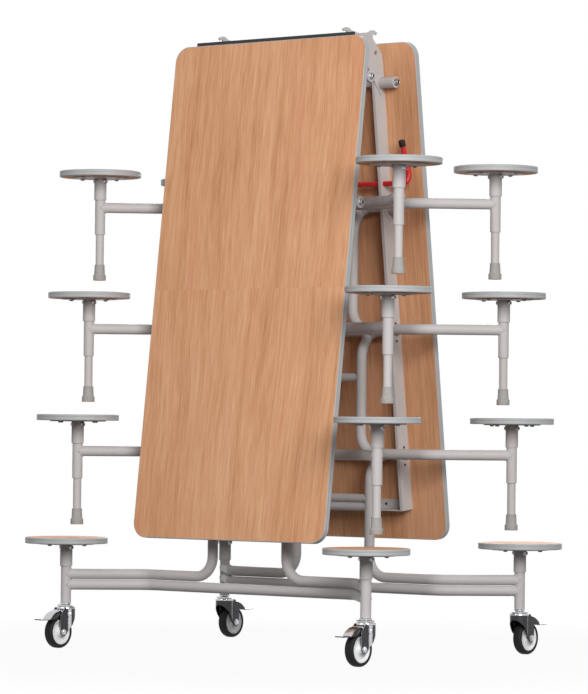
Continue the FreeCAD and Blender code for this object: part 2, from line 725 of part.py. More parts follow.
def levelling_link():
    """Flat bar with an eye on the link pin of every row of the front half, folded."""
    eyes = []
    for row in range(ROW_COUNT):
        eyes.append(pivot_place(row) + point(0, LINK_PIN_IN, -LINK_PIN_DROP))
    x_start = LINK_X - LINK_THICKNESS / 2
    along = (eyes[-1] - eyes[0]).normalize()
    across = point(0, -along.z, along.y) * (LINK_HEIGHT / 2)
    corners = [eyes[0] + across, eyes[-1] + across, eyes[-1] - across, eyes[0] - across]
    bar = plate_x([(corner.y, corner.z) for corner in corners], x_start, LINK_THICKNESS)
    link = fused([bar] + [rod_x(LUG_ROUND, x_start, x_start + LINK_THICKNESS, eye.y, eye.z) for eye in eyes])
    hole = LINK_PIN + 2 * RUNNING_FIT
    return link.cut([rod_x(hole, x_start - 1, x_start + LINK_THICKNESS + 1, eye.y, eye.z) for eye in eyes])


# Castors, drawn on the floor under the stem, trailing towards -Y

def fork_shell():
    """Sheet bent round the front of the wheel, before its sides are cut to shape."""
    shells = []
    for radius in (FORK_GAP / 2 + FORK_PLATE, FORK_GAP / 2):
        sides = block(point(-radius, -CASTOR_TRAIL - FORK_GAP, 0), point(radius, 0, CASTOR_HEIGHT))
        shells.append(sides.fuse(rod_z(2 * radius, 0, 0, 0, CASTOR_HEIGHT)))
    return shells[0].cut(shells[1])


def castor_fork():
    """Stem, cup, crown, pressed fork and the axle bolt."""
    crown_top = CROWN_FOOT + CROWN_HEIGHT
    axle_y = -CASTOR_TRAIL
    axle_z = WHEEL_RADIUS
    cup_top = CASTOR_HEIGHT - SIDE_PLAY
    solids = [rod_z(CROWN_DIAMETER, 0, 0, CROWN_FOOT, crown_top),
              rod_z(CUP_DIAMETER, 0, 0, crown_top - 1, cup_top),
              rod_z(STEM, 0, 0, cup_top - 1, cup_top + STEM_LENGTH)]
    outer = FORK_GAP / 2 + FORK_PLATE
    lobe = AXLE_LOBE / 2
    side = [(outer, crown_top), (outer, FORK_BROW), (axle_y + lobe, axle_z - lobe / 2),
            (axle_y - lobe, axle_z + lobe / 2), (-outer - CASTOR_TRAIL / 2, CROWN_FOOT),
            (-outer, crown_top)]
    solids.append(fork_shell().common(plate_x(side, -outer, 2 * outer)))
    for x_start in (-outer, outer - FORK_PLATE):
        solids.append(rod_x(AXLE_LOBE, x_start, x_start + FORK_PLATE, axle_y, axle_z))
    solids.append(rod_x(AXLE, -outer - 1, outer + 1, axle_y, axle_z))
    solids.append(hexagon_head(AXLE_HEAD, outer, AXLE_HEAD_HEIGHT, axle_y, axle_z))
    solids.append(hexagon_head(AXLE_HEAD, -outer - AXLE_HEAD_HEIGHT, AXLE_HEAD_HEIGHT, axle_y, axle_z))
    pin_z = axle_z + PEDAL_PIN_RISE
    return fused(solids).cut(rod_x(PEDAL_PIN + 2 * RUNNING_FIT, -outer - 1, outer + 1, axle_y, pin_z))


def at_axle(shape):
    """Move a wheel piece from the origin to the axle."""
    placed = shape.copy()
    placed.translate(point(0, -CASTOR_TRAIL, WHEEL_RADIUS))
    return placed


def castor_rim():
    """Wheel centre with its hub."""
    hub_x = FORK_GAP / 2 - SIDE_PLAY
    rim_x = RIM_WIDTH / 2
    web_x = RIM_WEB / 2
    hub = HUB_DIAMETER / 2
    outside = RIM_DIAMETER / 2
    bore = AXLE / 2 + RUNNING_FIT
    right = [(hub_x, bore), (hub_x, hub), (web_x, hub), (web_x, outside - RIM_LIP),
             (rim_x, outside - RIM_LIP / 2), (rim_x, outside)]
    left = [(-x, radius) for x, radius in reversed(right)]
    return at_axle(turned(right + left))


def castor_tyre():
    """Solid tyre with rounded shoulders."""
    half = TYRE_WIDTH / 2
    tyre = rod_x(WHEEL_DIAMETER, -half, half, 0, 0)
    tyre = tyre.makeFillet(TYRE_ROUND, [edge for edge in tyre.Edges if edge.BoundBox.XLength < 1])
    return at_axle(tyre.cut(rod_x(RIM_DIAMETER + 2 * SEAT_FIT, -half - 1, half + 1, 0, 0)))


def brake_pedal():
    """Curved brake plate over the wheel with its side walls, foot tab and pin."""
    outer = PEDAL_INNER + PEDAL_THICKNESS
    half = PEDAL_WIDTH / 2
    inner_half = half - PEDAL_SKIRT
    plate = rod_x(2 * outer, -half, half, 0, 0)
    plate = plate.cut([rod_x(2 * PEDAL_INNER, -inner_half, inner_half, 0, 0),
                       rod_x(2 * PEDAL_SKIRT_INNER, -half, half, 0, 0)])
    sweep = math.radians(PEDAL_SWEEP)
    wedge = [(0, 0), (0, 2 * outer), (-2 * outer * math.tan(sweep / 2), 2 * outer),
             (-2 * outer * math.sin(sweep), 2 * outer * math.cos(sweep))]
    plate = plate.common(plate_x(wedge, -half, PEDAL_WIDTH))
    tab_y = -outer * math.sin(sweep)
    tab_z = outer * math.cos(sweep)
    half_tab = PEDAL_TAB_WIDTH / 2
    tab = block(point(-half_tab, CASTOR_TRAIL - PEDAL_REACH, tab_z - PEDAL_THICKNESS),
                point(half_tab, tab_y + PEDAL_THICKNESS, tab_z))
    reach = FORK_GAP / 2 + FORK_PLATE
    barrel = rod_x(PEDAL_BARREL, -half, half, 0, PEDAL_PIN_RISE)
    pin = rod_x(PEDAL_PIN, -reach, reach, 0, PEDAL_PIN_RISE)
    return at_axle(fused([plate, tab, barrel, pin]))


def half_nodes(half):
    """Every node of one half, in the front half's place."""
    nodes = {
        "top_board": flat_to_folded(top_board()),
        "top_edging": flat_to_folded(top_edging()),
        "rail_frame": flat_to_folded(rail_frame(half)),
        "pivot_bolts": flat_to_folded(pivot_bolts()),
        "levelling_link": levelling_link(),
    }
    if half == "front":
        nodes["support_strip"] = flat_to_folded(support_strip())
        nodes["hinge_pins"] = hinge_pins()
    else:
        nodes["lock_bar"] = flat_to_folded(lock_bar())
        nodes["lever_grip"] = flat_to_folded(lever_grip())
    for row in range(ROW_COUNT):
        is_end = row == LAST_ROW
        name = "end" if is_end else "row{}".format(row + 1)
        nodes[name + "_frame"] = at_row(stool_frame(is_end), row)
        nodes[name + "_seats"] = at_row(both_posts(seat_disc()), row)
        nodes[name + "_seat_edges"] = at_row(both_posts(seat_edge()), row)
        if not is_end:
            nodes[name + "_feet"] = at_row(both_posts(rubber_foot()), row)
    for side, word in ((-1, "left"), (1, "right")):
        nodes[word + "_castor_fork"] = at_castor(castor_fork(), side)
        nodes[word + "_castor_rim"] = at_castor(castor_rim(), side)
        nodes[word + "_castor_tyre"] = at_castor(castor_tyre(), side)
        nodes[word + "_castor_pedal"] = at_castor(brake_pedal(), side)
    return nodes


os.makedirs("parts", exist_ok=True)
for half_name in ("front", "rear"):
    for node_name, node_shape in half_nodes(half_name).items():
        for_half(node_shape, half_name).exportStep("parts/{}_{}.step".format(half_name, node_name))
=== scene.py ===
"""Looks of the folding stool table: finishes, mouldings, welds, fastenings, castors and studio.

Metres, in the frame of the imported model. The table stands folded with its front half towards -Y,
and the rear half is the front half turned half a turn about Z.
"""
import json
import logging
import math
from collections.abc import Callable, Iterable, Sequence
from dataclasses import dataclass
from enum import Enum

import bmesh
import bpy
from mathutils import Matrix, Vector


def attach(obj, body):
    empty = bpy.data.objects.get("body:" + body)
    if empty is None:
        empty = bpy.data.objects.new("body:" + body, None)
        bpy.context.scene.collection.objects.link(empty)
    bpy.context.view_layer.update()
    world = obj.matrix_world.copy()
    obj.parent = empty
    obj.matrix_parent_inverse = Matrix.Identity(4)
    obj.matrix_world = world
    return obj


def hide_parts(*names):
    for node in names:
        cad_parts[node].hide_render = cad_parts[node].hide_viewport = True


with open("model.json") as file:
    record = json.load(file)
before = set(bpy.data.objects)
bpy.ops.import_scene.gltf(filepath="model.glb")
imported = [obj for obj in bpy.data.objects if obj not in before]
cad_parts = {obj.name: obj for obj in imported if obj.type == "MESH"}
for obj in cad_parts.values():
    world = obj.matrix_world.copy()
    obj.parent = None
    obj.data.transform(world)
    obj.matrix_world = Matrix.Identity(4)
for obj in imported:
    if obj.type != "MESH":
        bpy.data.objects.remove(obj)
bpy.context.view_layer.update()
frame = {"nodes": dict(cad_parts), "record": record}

LOG = logging.getLogger("stool_table")
Colour = tuple[float, float, float]
Profile = list[tuple[float, float]]
WHITE: Colour = (1.0, 1.0, 1.0)
SIDES = (-1, 1)
X_AXIS = Vector((1.0, 0.0, 0.0)).freeze()
Z_AXIS = Vector((0.0, 0.0, 1.0)).freeze()
DOWN = Vector((0.0, 0.0, -1.0)).freeze()


class Half(Enum):
    """The two halves of the table."""

    FRONT = "front"
    REAR = "rear"

    @property
    def turn(self) -> Matrix:
        """Half a turn about Z for the rear half."""
        return Matrix.Rotation(math.pi if self is Half.REAR else 0.0, 4, "Z")

    @property
    def lean(self) -> float:
        """Sign of the board's lean, as seen along X."""
        return 1.0 if self is Half.FRONT else -1.0


class Slot(Enum):
    """Finishes of the table, named as the record names them."""

    POWDER = "powder_coat"
    LAMINATE = "beech_laminate"
    MOULDING = "grey_moulding"
    FOOT = "grey_rubber"
    ZINC = "zinc_steel"
    DARK = "dark_steel"
    RED = "red_paint"
    GRIP = "black_rubber"
    CHROME = "chrome_steel"
    NYLON = "pale_nylon"
    TYRE = "black_tyre"


class Outline(Enum):
    """Cross-sections of a turned or forged piece."""

    ROUND = "round"
    HEXAGON = "hexagon"
    CROSS = "cross"

    def factor(self, angle: float) -> float:
        """How far the outline reaches at an angle, where its tips reach 1.

        Args:
            angle: Direction, in radians.

        Returns:
            The reach, as a share of the tips'.
        """
        if self is Outline.HEXAGON:
            sector = math.radians(60)
            return math.cos(sector / 2) / math.cos(angle % sector - sector / 2)
        if self is Outline.CROSS:
            width = 0.3
            across, up = abs(math.cos(angle)) + 1e-9, abs(math.sin(angle)) + 1e-9
            return max(min(1 / across, width / up), min(1 / up, width / across))
        return 1.0


def sheet_colour(red: int, green: int, blue: int) -> Colour:
    """Linear colour of a paint or sheet named by its sRGB bytes."""
    return tuple((byte / 255 / 12.92) if byte < 11 else ((byte / 255 + 0.055) / 1.055) ** 2.4
                 for byte in (red, green, blue))


def dimmed(tone: Colour, share: float) -> Colour:
    """A tone with only a share of its light."""
    return tuple(share * part for part in tone)


class Term:
    """A value in a shader expression; each operator adds a Math node."""

    def __init__(self, tree: "Tree", source: bpy.types.NodeSocket) -> None:
        """Keep an output socket and its tree."""
        self.tree = tree
        self.source = source

    def _math(self, operation: str, first: object, second: object) -> "Term":
        """Join two values or terms with a Math node."""
        node = self.tree.node("ShaderNodeMath", {0: first, 1: second}, operation=operation)
        return Term(self.tree, node.outputs[0])

    def __add__(self, other: object) -> "Term":
        """Sum."""
        return self._math("ADD", self, other)

    __radd__ = __add__

    def __sub__(self, other: object) -> "Term":
        """Difference."""
        return self._math("SUBTRACT", self, other)

    def __rsub__(self, other: object) -> "Term":
        """Difference, taken from a number."""
        return self._math("SUBTRACT", other, self)

    def __mul__(self, other: object) -> "Term":
        """Product."""
        return self._math("MULTIPLY", self, other)

    __rmul__ = __mul__

    def over(self, threshold: float) -> "Term":
        """1 where the value is above a threshold."""
        return self._math("GREATER_THAN", self, threshold)


class Tree:
    """A node tree, with one method that adds any node."""

    def __init__(self, tree: bpy.types.NodeTree) -> None:
        """Keep a tree, emptied, to build in."""
        self.tree = tree
        tree.nodes.clear()

    def node(self, kind: str, inputs: dict[int | str, object] | None = None,
             stops: Sequence[tuple[float, Colour]] = (), **settings: object) -> bpy.types.Node:
        """Add a node.

        Args:
            kind: Node type.
            inputs: Values or links of its sockets, by name or number; a node given as a link
                stands for its first output.
            stops: Positions and colours of a ramp.
            **settings: Properties, which are set first.

        Returns:
            The node.
        """
        made = self.tree.nodes.new(kind)
        for name, value in settings.items():
            setattr(made, name, value)
        if stops:
            ramp = made.color_ramp.elements
            while len(ramp) < len(stops):
                ramp.new(1.0)
            for element, (position, colour) in zip(ramp, stops):
                element.position = position
                element.color = (*colour, 1.0)
        for key, value in (inputs or {}).items():
            socket = made.inputs[key]
            if isinstance(value, Term):
                value = value.source
            elif isinstance(value, bpy.types.Node):
                value = value.outputs[0]
            if isinstance(value, bpy.types.NodeSocket):
                self.tree.links.new(value, socket)
            else:
                socket.default_value = (*value, 1.0) if socket.type == "RGBA" else value
        return made


class Shader(Tree):
    """A material being built on Object coordinates."""

    def __init__(self, name: str) -> None:
        """Start a material of a name.

        Args:
            name: Its name.
        """
        self.material = bpy.data.materials.new(name)
        self.material.use_nodes = True
        super().__init__(self.material.node_tree)
        self.place = self.node("ShaderNodeTexCoord").outputs["Object"]

    def noise(self, scale: float, detail: float = 2.0, rough: float = 0.5,
              place: object | None = None) -> Term:
        """Noise from 0 to 1, with its features about 1 / scale across.

        Args:
            scale: Features in a metre.
            detail: Octaves of finer noise.
            rough: Strength of the finer noise.
            place: Coordinates to use instead of the object's.

        Returns:
            The noise.
        """
        made = self.node("ShaderNodeTexNoise", {
            "Vector": place or self.place, "Scale": scale, "Detail": detail, "Roughness": rough})
        return Term(self, made.outputs[0])

    def uneven(self, middle: float, spread: float, scale: float) -> Term:
        """A value that wanders over a spread about its middle."""
        return self.noise(scale, 3.0) * spread + (middle - spread / 2)

    def blend(self, share: object, first: object, second: object) -> bpy.types.NodeSocket:
        """Mix two colours."""
        return self.node("ShaderNodeMix", {0: share, 6: first, 7: second}, data_type="RGBA").outputs[2]

    def raised(self, height: Term, distance: float) -> bpy.types.Node:
        """Bump from a height of 0 to 1 that stands for a distance."""
        return self.node("ShaderNodeBump", {"Height": height, "Distance": distance})

    def finish(self, **sockets: object) -> bpy.types.Material:
        """Join the surface to the output.

        Args:
            **sockets: Principled inputs, with underscores for spaces.

        Returns:
            The material.
        """
        surface = self.node("ShaderNodeBsdfPrincipled", {
            name.replace("_", " "): value for name, value in sockets.items()})
        self.node("ShaderNodeOutputMaterial", {"Surface": surface})
        return self.material


@dataclass(frozen=True)
class Coating:
    """Sprayed paint or powder: a tone, fine peel, dull patches and rubbed spots."""

    name: str
    tone: Colour
    rubbed: Colour
    gloss: float
    grain: float = 900.0
    depth: float = 0.00006
    shine: float = 0.12
    coat: float = 0.0
    wear: float = 0.71

    def build(self) -> bpy.types.Material:
        """Make the material.

        Returns:
            The material.
        """
        shader = Shader(self.name)
        patches = shader.noise(9.0, 4.0)
        tint = shader.blend(patches * 0.5, self.tone, dimmed(self.tone, 0.9))
        rubs = shader.noise(70.0, 6.0, 0.7).over(self.wear)
        return shader.finish(Base_Color=shader.blend(rubs * 0.6, tint, self.rubbed),
                             Roughness=shader.uneven(self.gloss, 0.12, 30.0) + rubs * 0.08,
                             Specular_IOR_Level=self.shine, Coat_Weight=self.coat,
                             Coat_Roughness=0.12,
                             Normal=shader.raised(shader.noise(self.grain), self.depth))


class Layer(Enum):
    """Layers of a wood's figure: repeats in a metre across and along the grain, and detail."""

    DRIFT = (2.4, 1.6, 1.0)
    BROAD = (8.0, 0.9, 2.0)
    STAINS = (26.0, 1.7, 3.0)
    STREAKS = (130.0, 4.5, 4.0)
    FINE = (420.0, 12.0, 2.0)
    FLECKS = (900.0, 60.0, 1.0)

    def drawn(self, shader: Shader, across: Term, thick: Term, along: Term) -> Term:
        """Noise stretched along the grain.

        Args:
            shader: The material.
            across: Place across the grain.
            thick: Place through the board.
            along: Place along the grain.

        Returns:
            The noise.
        """
        wide, long, detail = self.value
        place = shader.node("ShaderNodeCombineXYZ", {0: across * wide, 1: thick * 3.0, 2: along * long})
        return shader.noise(1.0, detail, 0.55, place)


@dataclass(frozen=True)
class Laminate:
    """Printed beech laminate with the grain along a board or across a seat."""

    name: str
    turn: tuple[float, float, float]
    shift: float = 0.0
    seam: float = 9.0
    seam_step: float = 0.37
    pale: Colour = sheet_colour(228, 182, 141)
    warm: Colour = sheet_colour(213, 158, 120)
    deep: Colour = sheet_colour(184, 128, 88)
    rosy: Colour = sheet_colour(203, 136, 104)
    gloss: float = 0.56

    def build(self) -> bpy.types.Material:
        """Make the material; the print starts again beyond its seam.

        Returns:
            The material.
        """
        shader = Shader(self.name)
        level = shader.node("ShaderNodeMapping", {
            "Vector": shader.place, "Rotation": self.turn, "Location": (self.shift, 0.0, 0.0)})
        split = shader.node("ShaderNodeSeparateXYZ", {0: level})
        across, thick, along = (Term(shader, socket) for socket in split.outputs)
        across = across + along.over(self.seam) * self.seam_step
        bent = across + Layer.DRIFT.drawn(shader, across, thick, along) * 0.05
        broad, stains, streaks, fine, flecks = (
            layer.drawn(shader, bent, thick, along) for layer in Layer if layer is not Layer.DRIFT)
        flecks = flecks.over(0.66)
        figure = broad * 0.17 + stains * 0.30 + streaks * 0.25 + fine * 0.28
        ramp = shader.node("ShaderNodeValToRGB", {0: figure},
                           [(0.37, self.deep), (0.5, self.warm), (0.62, self.pale)])
        stained = shader.blend((stains - 0.54) * 4.5, ramp, self.rosy)
        return shader.finish(Base_Color=shader.blend(flecks * 0.3, stained, self.deep),
                             Roughness=shader.uneven(self.gloss, 0.12, 40.0),
                             Specular_IOR_Level=0.08,
                             Normal=shader.raised(fine * 0.6 + flecks * 0.4, 0.00004))


@dataclass(frozen=True)
class Moulded:
    """Plastic or rubber: a tone, a fine matt texture and speckles."""

    name: str
    tone: Colour
    speck: Colour
    gloss: float
    grain: float = 700.0
    depth: float = 0.0001
    specks: float = 0.64

    def build(self) -> bpy.types.Material:
        """Make the material.

        Returns:
            The material.
        """
        shader = Shader(self.name)
        tint = shader.blend(shader.noise(12.0, 4.0) * 0.6, self.tone, dimmed(self.tone, 0.88))
        dots = shader.noise(self.grain * 0.6, 1.0).over(self.specks)
        return shader.finish(Base_Color=shader.blend(dots * 0.5, tint, self.speck),
                             Roughness=shader.uneven(self.gloss, 0.14, 25.0),
                             Specular_IOR_Level=0.25,
                             Normal=shader.raised(shader.noise(self.grain, 3.0), self.depth))


@dataclass(frozen=True)
class Plated:
    """Bright or dulled plating with fine brushing and water marks."""

    name: str
    tone: Colour
    gloss: float

    def build(self) -> bpy.types.Material:
        """Make the material.

        Returns:
            The material.
        """
        shader = Shader(self.name)
        marks = shader.noise(55.0, 5.0, 0.65)
        return shader.finish(Base_Color=shader.blend(marks, dimmed(self.tone, 0.78), self.tone),
                             Roughness=shader.noise(160.0, 4.0) * 0.16 + self.gloss, Metallic=1.0,
                             Normal=shader.raised(shader.noise(1400.0), 0.00002))


@dataclass(frozen=True)
class Layout:
    """Where the folded table's parts stand; the front half, before any turn."""

    opening: float = math.radians(83.0)
    hinge_gap: float = 0.0015
    hinge_depth: float = 0.126
    first_pivot: float = 0.120
    row_pitch: float = 0.381
    pivot_depth: float = 0.041
    frame_drop: float = 0.372
    arm_height: float = 0.2265
    post_x: float = 0.587
    post_out: float = 0.139
    rows: int = 4

    @property
    def fold(self) -> Matrix:
        """From a flat top, outer face up and inner end at y = 0, to its folded place.

        Returns:
            The place of the folded front top.
        """
        turn = Matrix.Rotation(self.opening, 4, "X")
        hinge = turn @ Vector((0.0, self.hinge_gap, -self.hinge_depth))
        last = turn @ self.flat_pivot(self.rows - 1)
        height = self.arm_height + self.frame_drop - last.z
        return Matrix.Translation((0.0, -hinge.y, height)) @ turn

    def station(self, row: int) -> float:
        """Distance of a row's pivot from the inner end of the top."""
        return self.first_pivot + row * self.row_pitch

    def flat_pivot(self, row: int, x: float = 0.0) -> Vector:
        """A point of a row's pivot axis on the flat top."""
        return Vector((x, -self.station(row), -self.pivot_depth))

    def pivot(self, row: int) -> Vector:
        """The middle of a row's pivot axis."""
        return self.fold @ self.flat_pivot(row)

    def post(self, row: int, side: int) -> Vector:
        """Where a stool post meets its arm."""
        return self.pivot(row) + Vector((side * self.post_x, -self.post_out, -self.frame_drop))


def circle(radius: float, height: float, sides: int, outline: Outline = Outline.ROUND) -> list[Vector]:
    """Points of an outline about the Z axis.

    Args:
        radius: Reach of its tips.
        height: Height on the axis.
        sides: Number of points.
        outline: Its shape.

    Returns:
        The points, in turn.
    """
    points = []
    for i in range(sides):
        angle = 2 * math.pi * i / sides
        reach = radius * outline.factor(angle)
        points.append(Vector((reach * math.cos(angle), reach * math.sin(angle), height)))
    return points


class Form:
    """A mesh being shaped from rings and sheets of points."""

    def __init__(self) -> None:
        """Start with an empty mesh."""
        self.mesh = bmesh.new()

    def skin(self, rows: Sequence[Sequence[Vector]], round_rows: bool = True,
             loop: bool = False) -> "Form":
        """Join successive rows of points with faces.

        Args:
            rows: Rows with the same number of points.
            round_rows: Whether each row closes on itself.
            loop: Whether the last row joins the first.

        Returns:
            The form.
        """
        made = [[self.mesh.verts.new(point) for point in row] for row in rows]
        pairs = list(zip(made, made[1:])) + ([(made[-1], made[0])] if loop else [])
        for low, high in pairs:
            count = len(low)
            for i in range(count if round_rows else count - 1):
                j = (i + 1) % count
                self.mesh.faces.new((low[i], low[j], high[j], high[i]))
        return self

    def turned(self, profile: Profile, place: Matrix, sides: int = 32, loop: bool = False,
               outline: Outline = Outline.ROUND) -> "Form":
        """Revolve a profile about the placed Z axis.

        Args:
            profile: Radius and height of each corner.
            place: Where the axis stands.
            sides: Number of faces round it.
            loop: Whether the profile is closed, as a ring's is.
            outline: Shape of the section.

        Returns:
            The form.
        """
        rows = [[place @ point for point in circle(radius, height, sides, outline)]
                for radius, height in profile]
        return self.skin(rows, True, loop)

    def done(self, name: str, crease: float = 32.0, solid: bool = True) -> bpy.types.Mesh:
        """Merge doubled points, turn faces outwards and shade the mesh.

        Args:
            name: Its name.
            crease: Edges sharper than this many degrees stay sharp.
            solid: Whether the shape is closed, so that its faces can be turned outwards.

        Returns:
            The mesh.
        """
        bmesh.ops.remove_doubles(self.mesh, verts=self.mesh.verts, dist=1e-6)
        bmesh.ops.dissolve_degenerate(self.mesh, edges=self.mesh.edges, dist=1e-7)
        if solid:
            bmesh.ops.recalc_face_normals(self.mesh, faces=self.mesh.faces)
        mesh = bpy.data.meshes.new(name)
        self.mesh.to_mesh(mesh)
        self.mesh.free()
        return shaded(mesh, crease)


def shaded(mesh: bpy.types.Mesh, crease: float = 32.0) -> bpy.types.Mesh:
    """Smooth shading, with edges sharper than the crease angle left sharp.

    Args:
        mesh: The mesh.
        crease: The angle, in degrees.

    Returns:
        The same mesh.
    """
    mesh.polygons.foreach_set("use_smooth", [True] * len(mesh.polygons))
    mesh.set_sharp_from_angle(angle=math.radians(crease))
    return mesh


def loose_object(name: str, data: bpy.types.ID) -> bpy.types.Object:
    """An object in the scene for a mesh, a lamp or a camera.

    Args:
        name: Its name.
        data: Its mesh, lamp or camera.

    Returns:
        The object.
    """
    made = bpy.data.objects.new(name, data)
    bpy.context.scene.collection.objects.link(made)
    return made


def evaluated(made: bpy.types.Object, name: str) -> bpy.types.Mesh:
    """The mesh of an object with its modifiers applied; the object is removed.

    Args:
        made: The object.
        name: Name of the mesh.

    Returns:
        The plain mesh.
    """
    graph = bpy.context.evaluated_depsgraph_get()
    graph.update()
    mesh = bpy.data.meshes.new_from_object(made.evaluated_get(graph), depsgraph=graph)
    mesh.name = name
    bpy.data.objects.remove(made)
    return mesh


def thickened(mesh: bpy.types.Mesh, thickness: float, rounding: float) -> bpy.types.Mesh:
    """A sheet given its thickness on its inner side, with rounded edges.

    Args:
        mesh: The sheet, with its outer side out.
        thickness: Thickness of the wall.
        rounding: Radius of its edges.

    Returns:
        The closed mesh.
    """
    made = loose_object("sheet", mesh)
    wall = made.modifiers.new("wall", "SOLIDIFY")
    wall.thickness = thickness
    wall.offset = -1.0
    wall.use_even_offset = True
    edge = made.modifiers.new("edge", "BEVEL")
    edge.width = rounding
    edge.segments = 2
    edge.limit_method = "ANGLE"
    edge.angle_limit = math.radians(50)
    return shaded(evaluated(made, mesh.name))


def path_mesh(name: str, loops: Iterable[Sequence[Vector]]) -> bpy.types.Mesh:
    """Edges round each loop of points, for a Geometry Nodes path.

    Args:
        name: Its name.
        loops: The points of each loop, in turn.

    Returns:
        The mesh of edges.
    """
    points: list[Vector] = []
    edges: list[tuple[int, int]] = []
    for loop in loops:
        first, count = len(points), len(loop)
        points.extend(loop)
        edges.extend((first + i, first + (i + 1) % count) for i in range(count))
    mesh = bpy.data.meshes.new(name)
    mesh.from_pydata(points, edges, [])
    return mesh


def facing_mesh(name: str, places: Iterable[tuple[Vector, Vector]], turn: Matrix) -> bpy.types.Mesh:
    """A point for each place, with the direction it faces kept in the attribute facing.

    Args:
        name: Its name.
        places: Each point and the direction that it faces.
        turn: Where the points' frame stands.

    Returns:
        The mesh of points.
    """
    spots = list(places)
    mesh = bpy.data.meshes.new(name)
    mesh.from_pydata([turn @ spot for spot, _ in spots], [], [])
    facing = mesh.attributes.new("facing", "FLOAT_VECTOR", "POINT")
    spin = turn.to_3x3()
    facing.data.foreach_set("vector", [part for _, way in spots for part in spin @ way])
    return mesh


class Pattern(Tree):
    """A Geometry Nodes tree with named inputs, run on a mesh to make plain geometry."""

    KINDS = {float: "NodeSocketFloat", int: "NodeSocketInt", bpy.types.Object: "NodeSocketObject",
             bpy.types.Material: "NodeSocketMaterial"}

    def __init__(self, name: str, inputs: dict[str, type]) -> None:
        """Start a tree.

        Args:
            name: Its name.
            inputs: The type of each named input, besides Geometry and Material.
        """
        group = bpy.data.node_groups.new(name, "GeometryNodeTree")
        super().__init__(group)
        face = group.interface
        face.new_socket("Geometry", in_out="INPUT", socket_type="NodeSocketGeometry")
        self.sockets = {}
        for label, kind in {**inputs, "Material": bpy.types.Material}.items():
            socket = face.new_socket(label, in_out="INPUT", socket_type=self.KINDS[kind])
            self.sockets[label] = socket.identifier
        face.new_socket("Geometry", in_out="OUTPUT", socket_type="NodeSocketGeometry")
        self.given = self.node("NodeGroupInput").outputs

    def model(self, label: str) -> bpy.types.NodeSocket:
        """Geometry of the object given under a name."""
        return self.node("GeometryNodeObjectInfo", {"Object": self.given[label]},
                         transform_space="ORIGINAL").outputs["Geometry"]

    def copies(self, points: object, model: object, way: object, size: object) -> bpy.types.Node:
        """Copy a model to points.

        Args:
            points: The points.
            model: The geometry to copy.
            way: Direction of the copies' Z axis.
            size: Scale of the copies.

        Returns:
            The node that makes the instances.
        """
        turn = self.node("FunctionNodeAlignRotationToVector", {"Vector": way}, axis="Z")
        scale = self.node("ShaderNodeCombineXYZ", {0: size, 1: size, 2: size})
        return self.node("GeometryNodeInstanceOnPoints", {
            "Points": points, "Instance": model, "Rotation": turn, "Scale": scale})

    def end(self, instances: object, smooth: bool = True) -> None:
        """Realize the instances, give them their material and join the output.

        Args:
            instances: The geometry to end with.
            smooth: Whether to shade all of it smooth.
        """
        real = self.node("GeometryNodeRealizeInstances", {0: instances})
        if smooth:
            real = self.node("GeometryNodeSetShadeSmooth", {0: real, "Shade Smooth": True})
        dressed = self.node("GeometryNodeSetMaterial", {
            "Geometry": real, "Material": self.given["Material"]})
        self.node("NodeGroupOutput", {0: dressed})

    def run(self, mesh: bpy.types.Mesh, **values: object) -> bpy.types.Mesh:
        """Run the tree on a mesh.

        Args:
            mesh: The input geometry, which is used up.
            **values: The named inputs.

        Returns:
            The plain mesh that results.
        """
        made = loose_object(mesh.name, mesh)
        modifier = made.modifiers.new("pattern", "NODES")
        modifier.node_group = self.tree
        for label, value in values.items():
            modifier[self.sockets[label]] = value
        return evaluated(made, mesh.name)


class WeldBead(Pattern):
    """Overlapping drops of weld metal along closed paths."""

    def __init__(self) -> None:
        """Build the tree."""
        super().__init__("weld_bead", {"Width": float, "Spacing": float, "Seed": int})
        curve = self.node("GeometryNodeMeshToCurve", {0: self.given["Geometry"]})
        steps = self.node("GeometryNodeResampleCurve", {
            "Curve": curve, "Length": self.given["Spacing"]}, mode="LENGTH")
        size = self.node("FunctionNodeRandomValue", {
            2: 0.85, 3: 1.15, "Seed": self.given["Seed"]}, data_type="FLOAT")
        reach = self.node("ShaderNodeMath", {0: size.outputs[1], 1: self.given["Width"]},
                          operation="MULTIPLY")
        drop = self.node("GeometryNodeMeshUVSphere", {"Segments": 8, "Rings": 5, "Radius": 0.5})
        self.end(self.copies(steps, drop, self.node("GeometryNodeInputTangent"), reach))


class Fixings(Pattern):
    """Copies of one fastening, each facing the way its point says."""

    def __init__(self) -> None:
        """Build the tree."""
        super().__init__("fixings", {"Fixing": bpy.types.Object, "Size": float})
        facing = self.node("GeometryNodeInputNamedAttribute", {"Name": "facing"},
                           data_type="FLOAT_VECTOR")
        spots = self.node("GeometryNodeMeshToPoints", {0: self.given["Geometry"]})
        self.end(self.copies(spots, self.model("Fixing"), facing, self.given["Size"]), smooth=False)


class SweptMoulding(Pattern):
    """An extruded moulding that follows closed paths lying flat."""

    def __init__(self) -> None:
        """Build the tree."""
        super().__init__("swept_moulding", {"Section": bpy.types.Object})
        curve = self.node("GeometryNodeMeshToCurve", {0: self.given["Geometry"]})
        level = self.node("GeometryNodeSetCurveNormal", {0: curve}, mode="Z_UP")
        outline = self.node("GeometryNodeMeshToCurve", {0: self.model("Section")})
        self.end(self.node("GeometryNodeCurveToMesh", {"Curve": level, "Profile Curve": outline}))


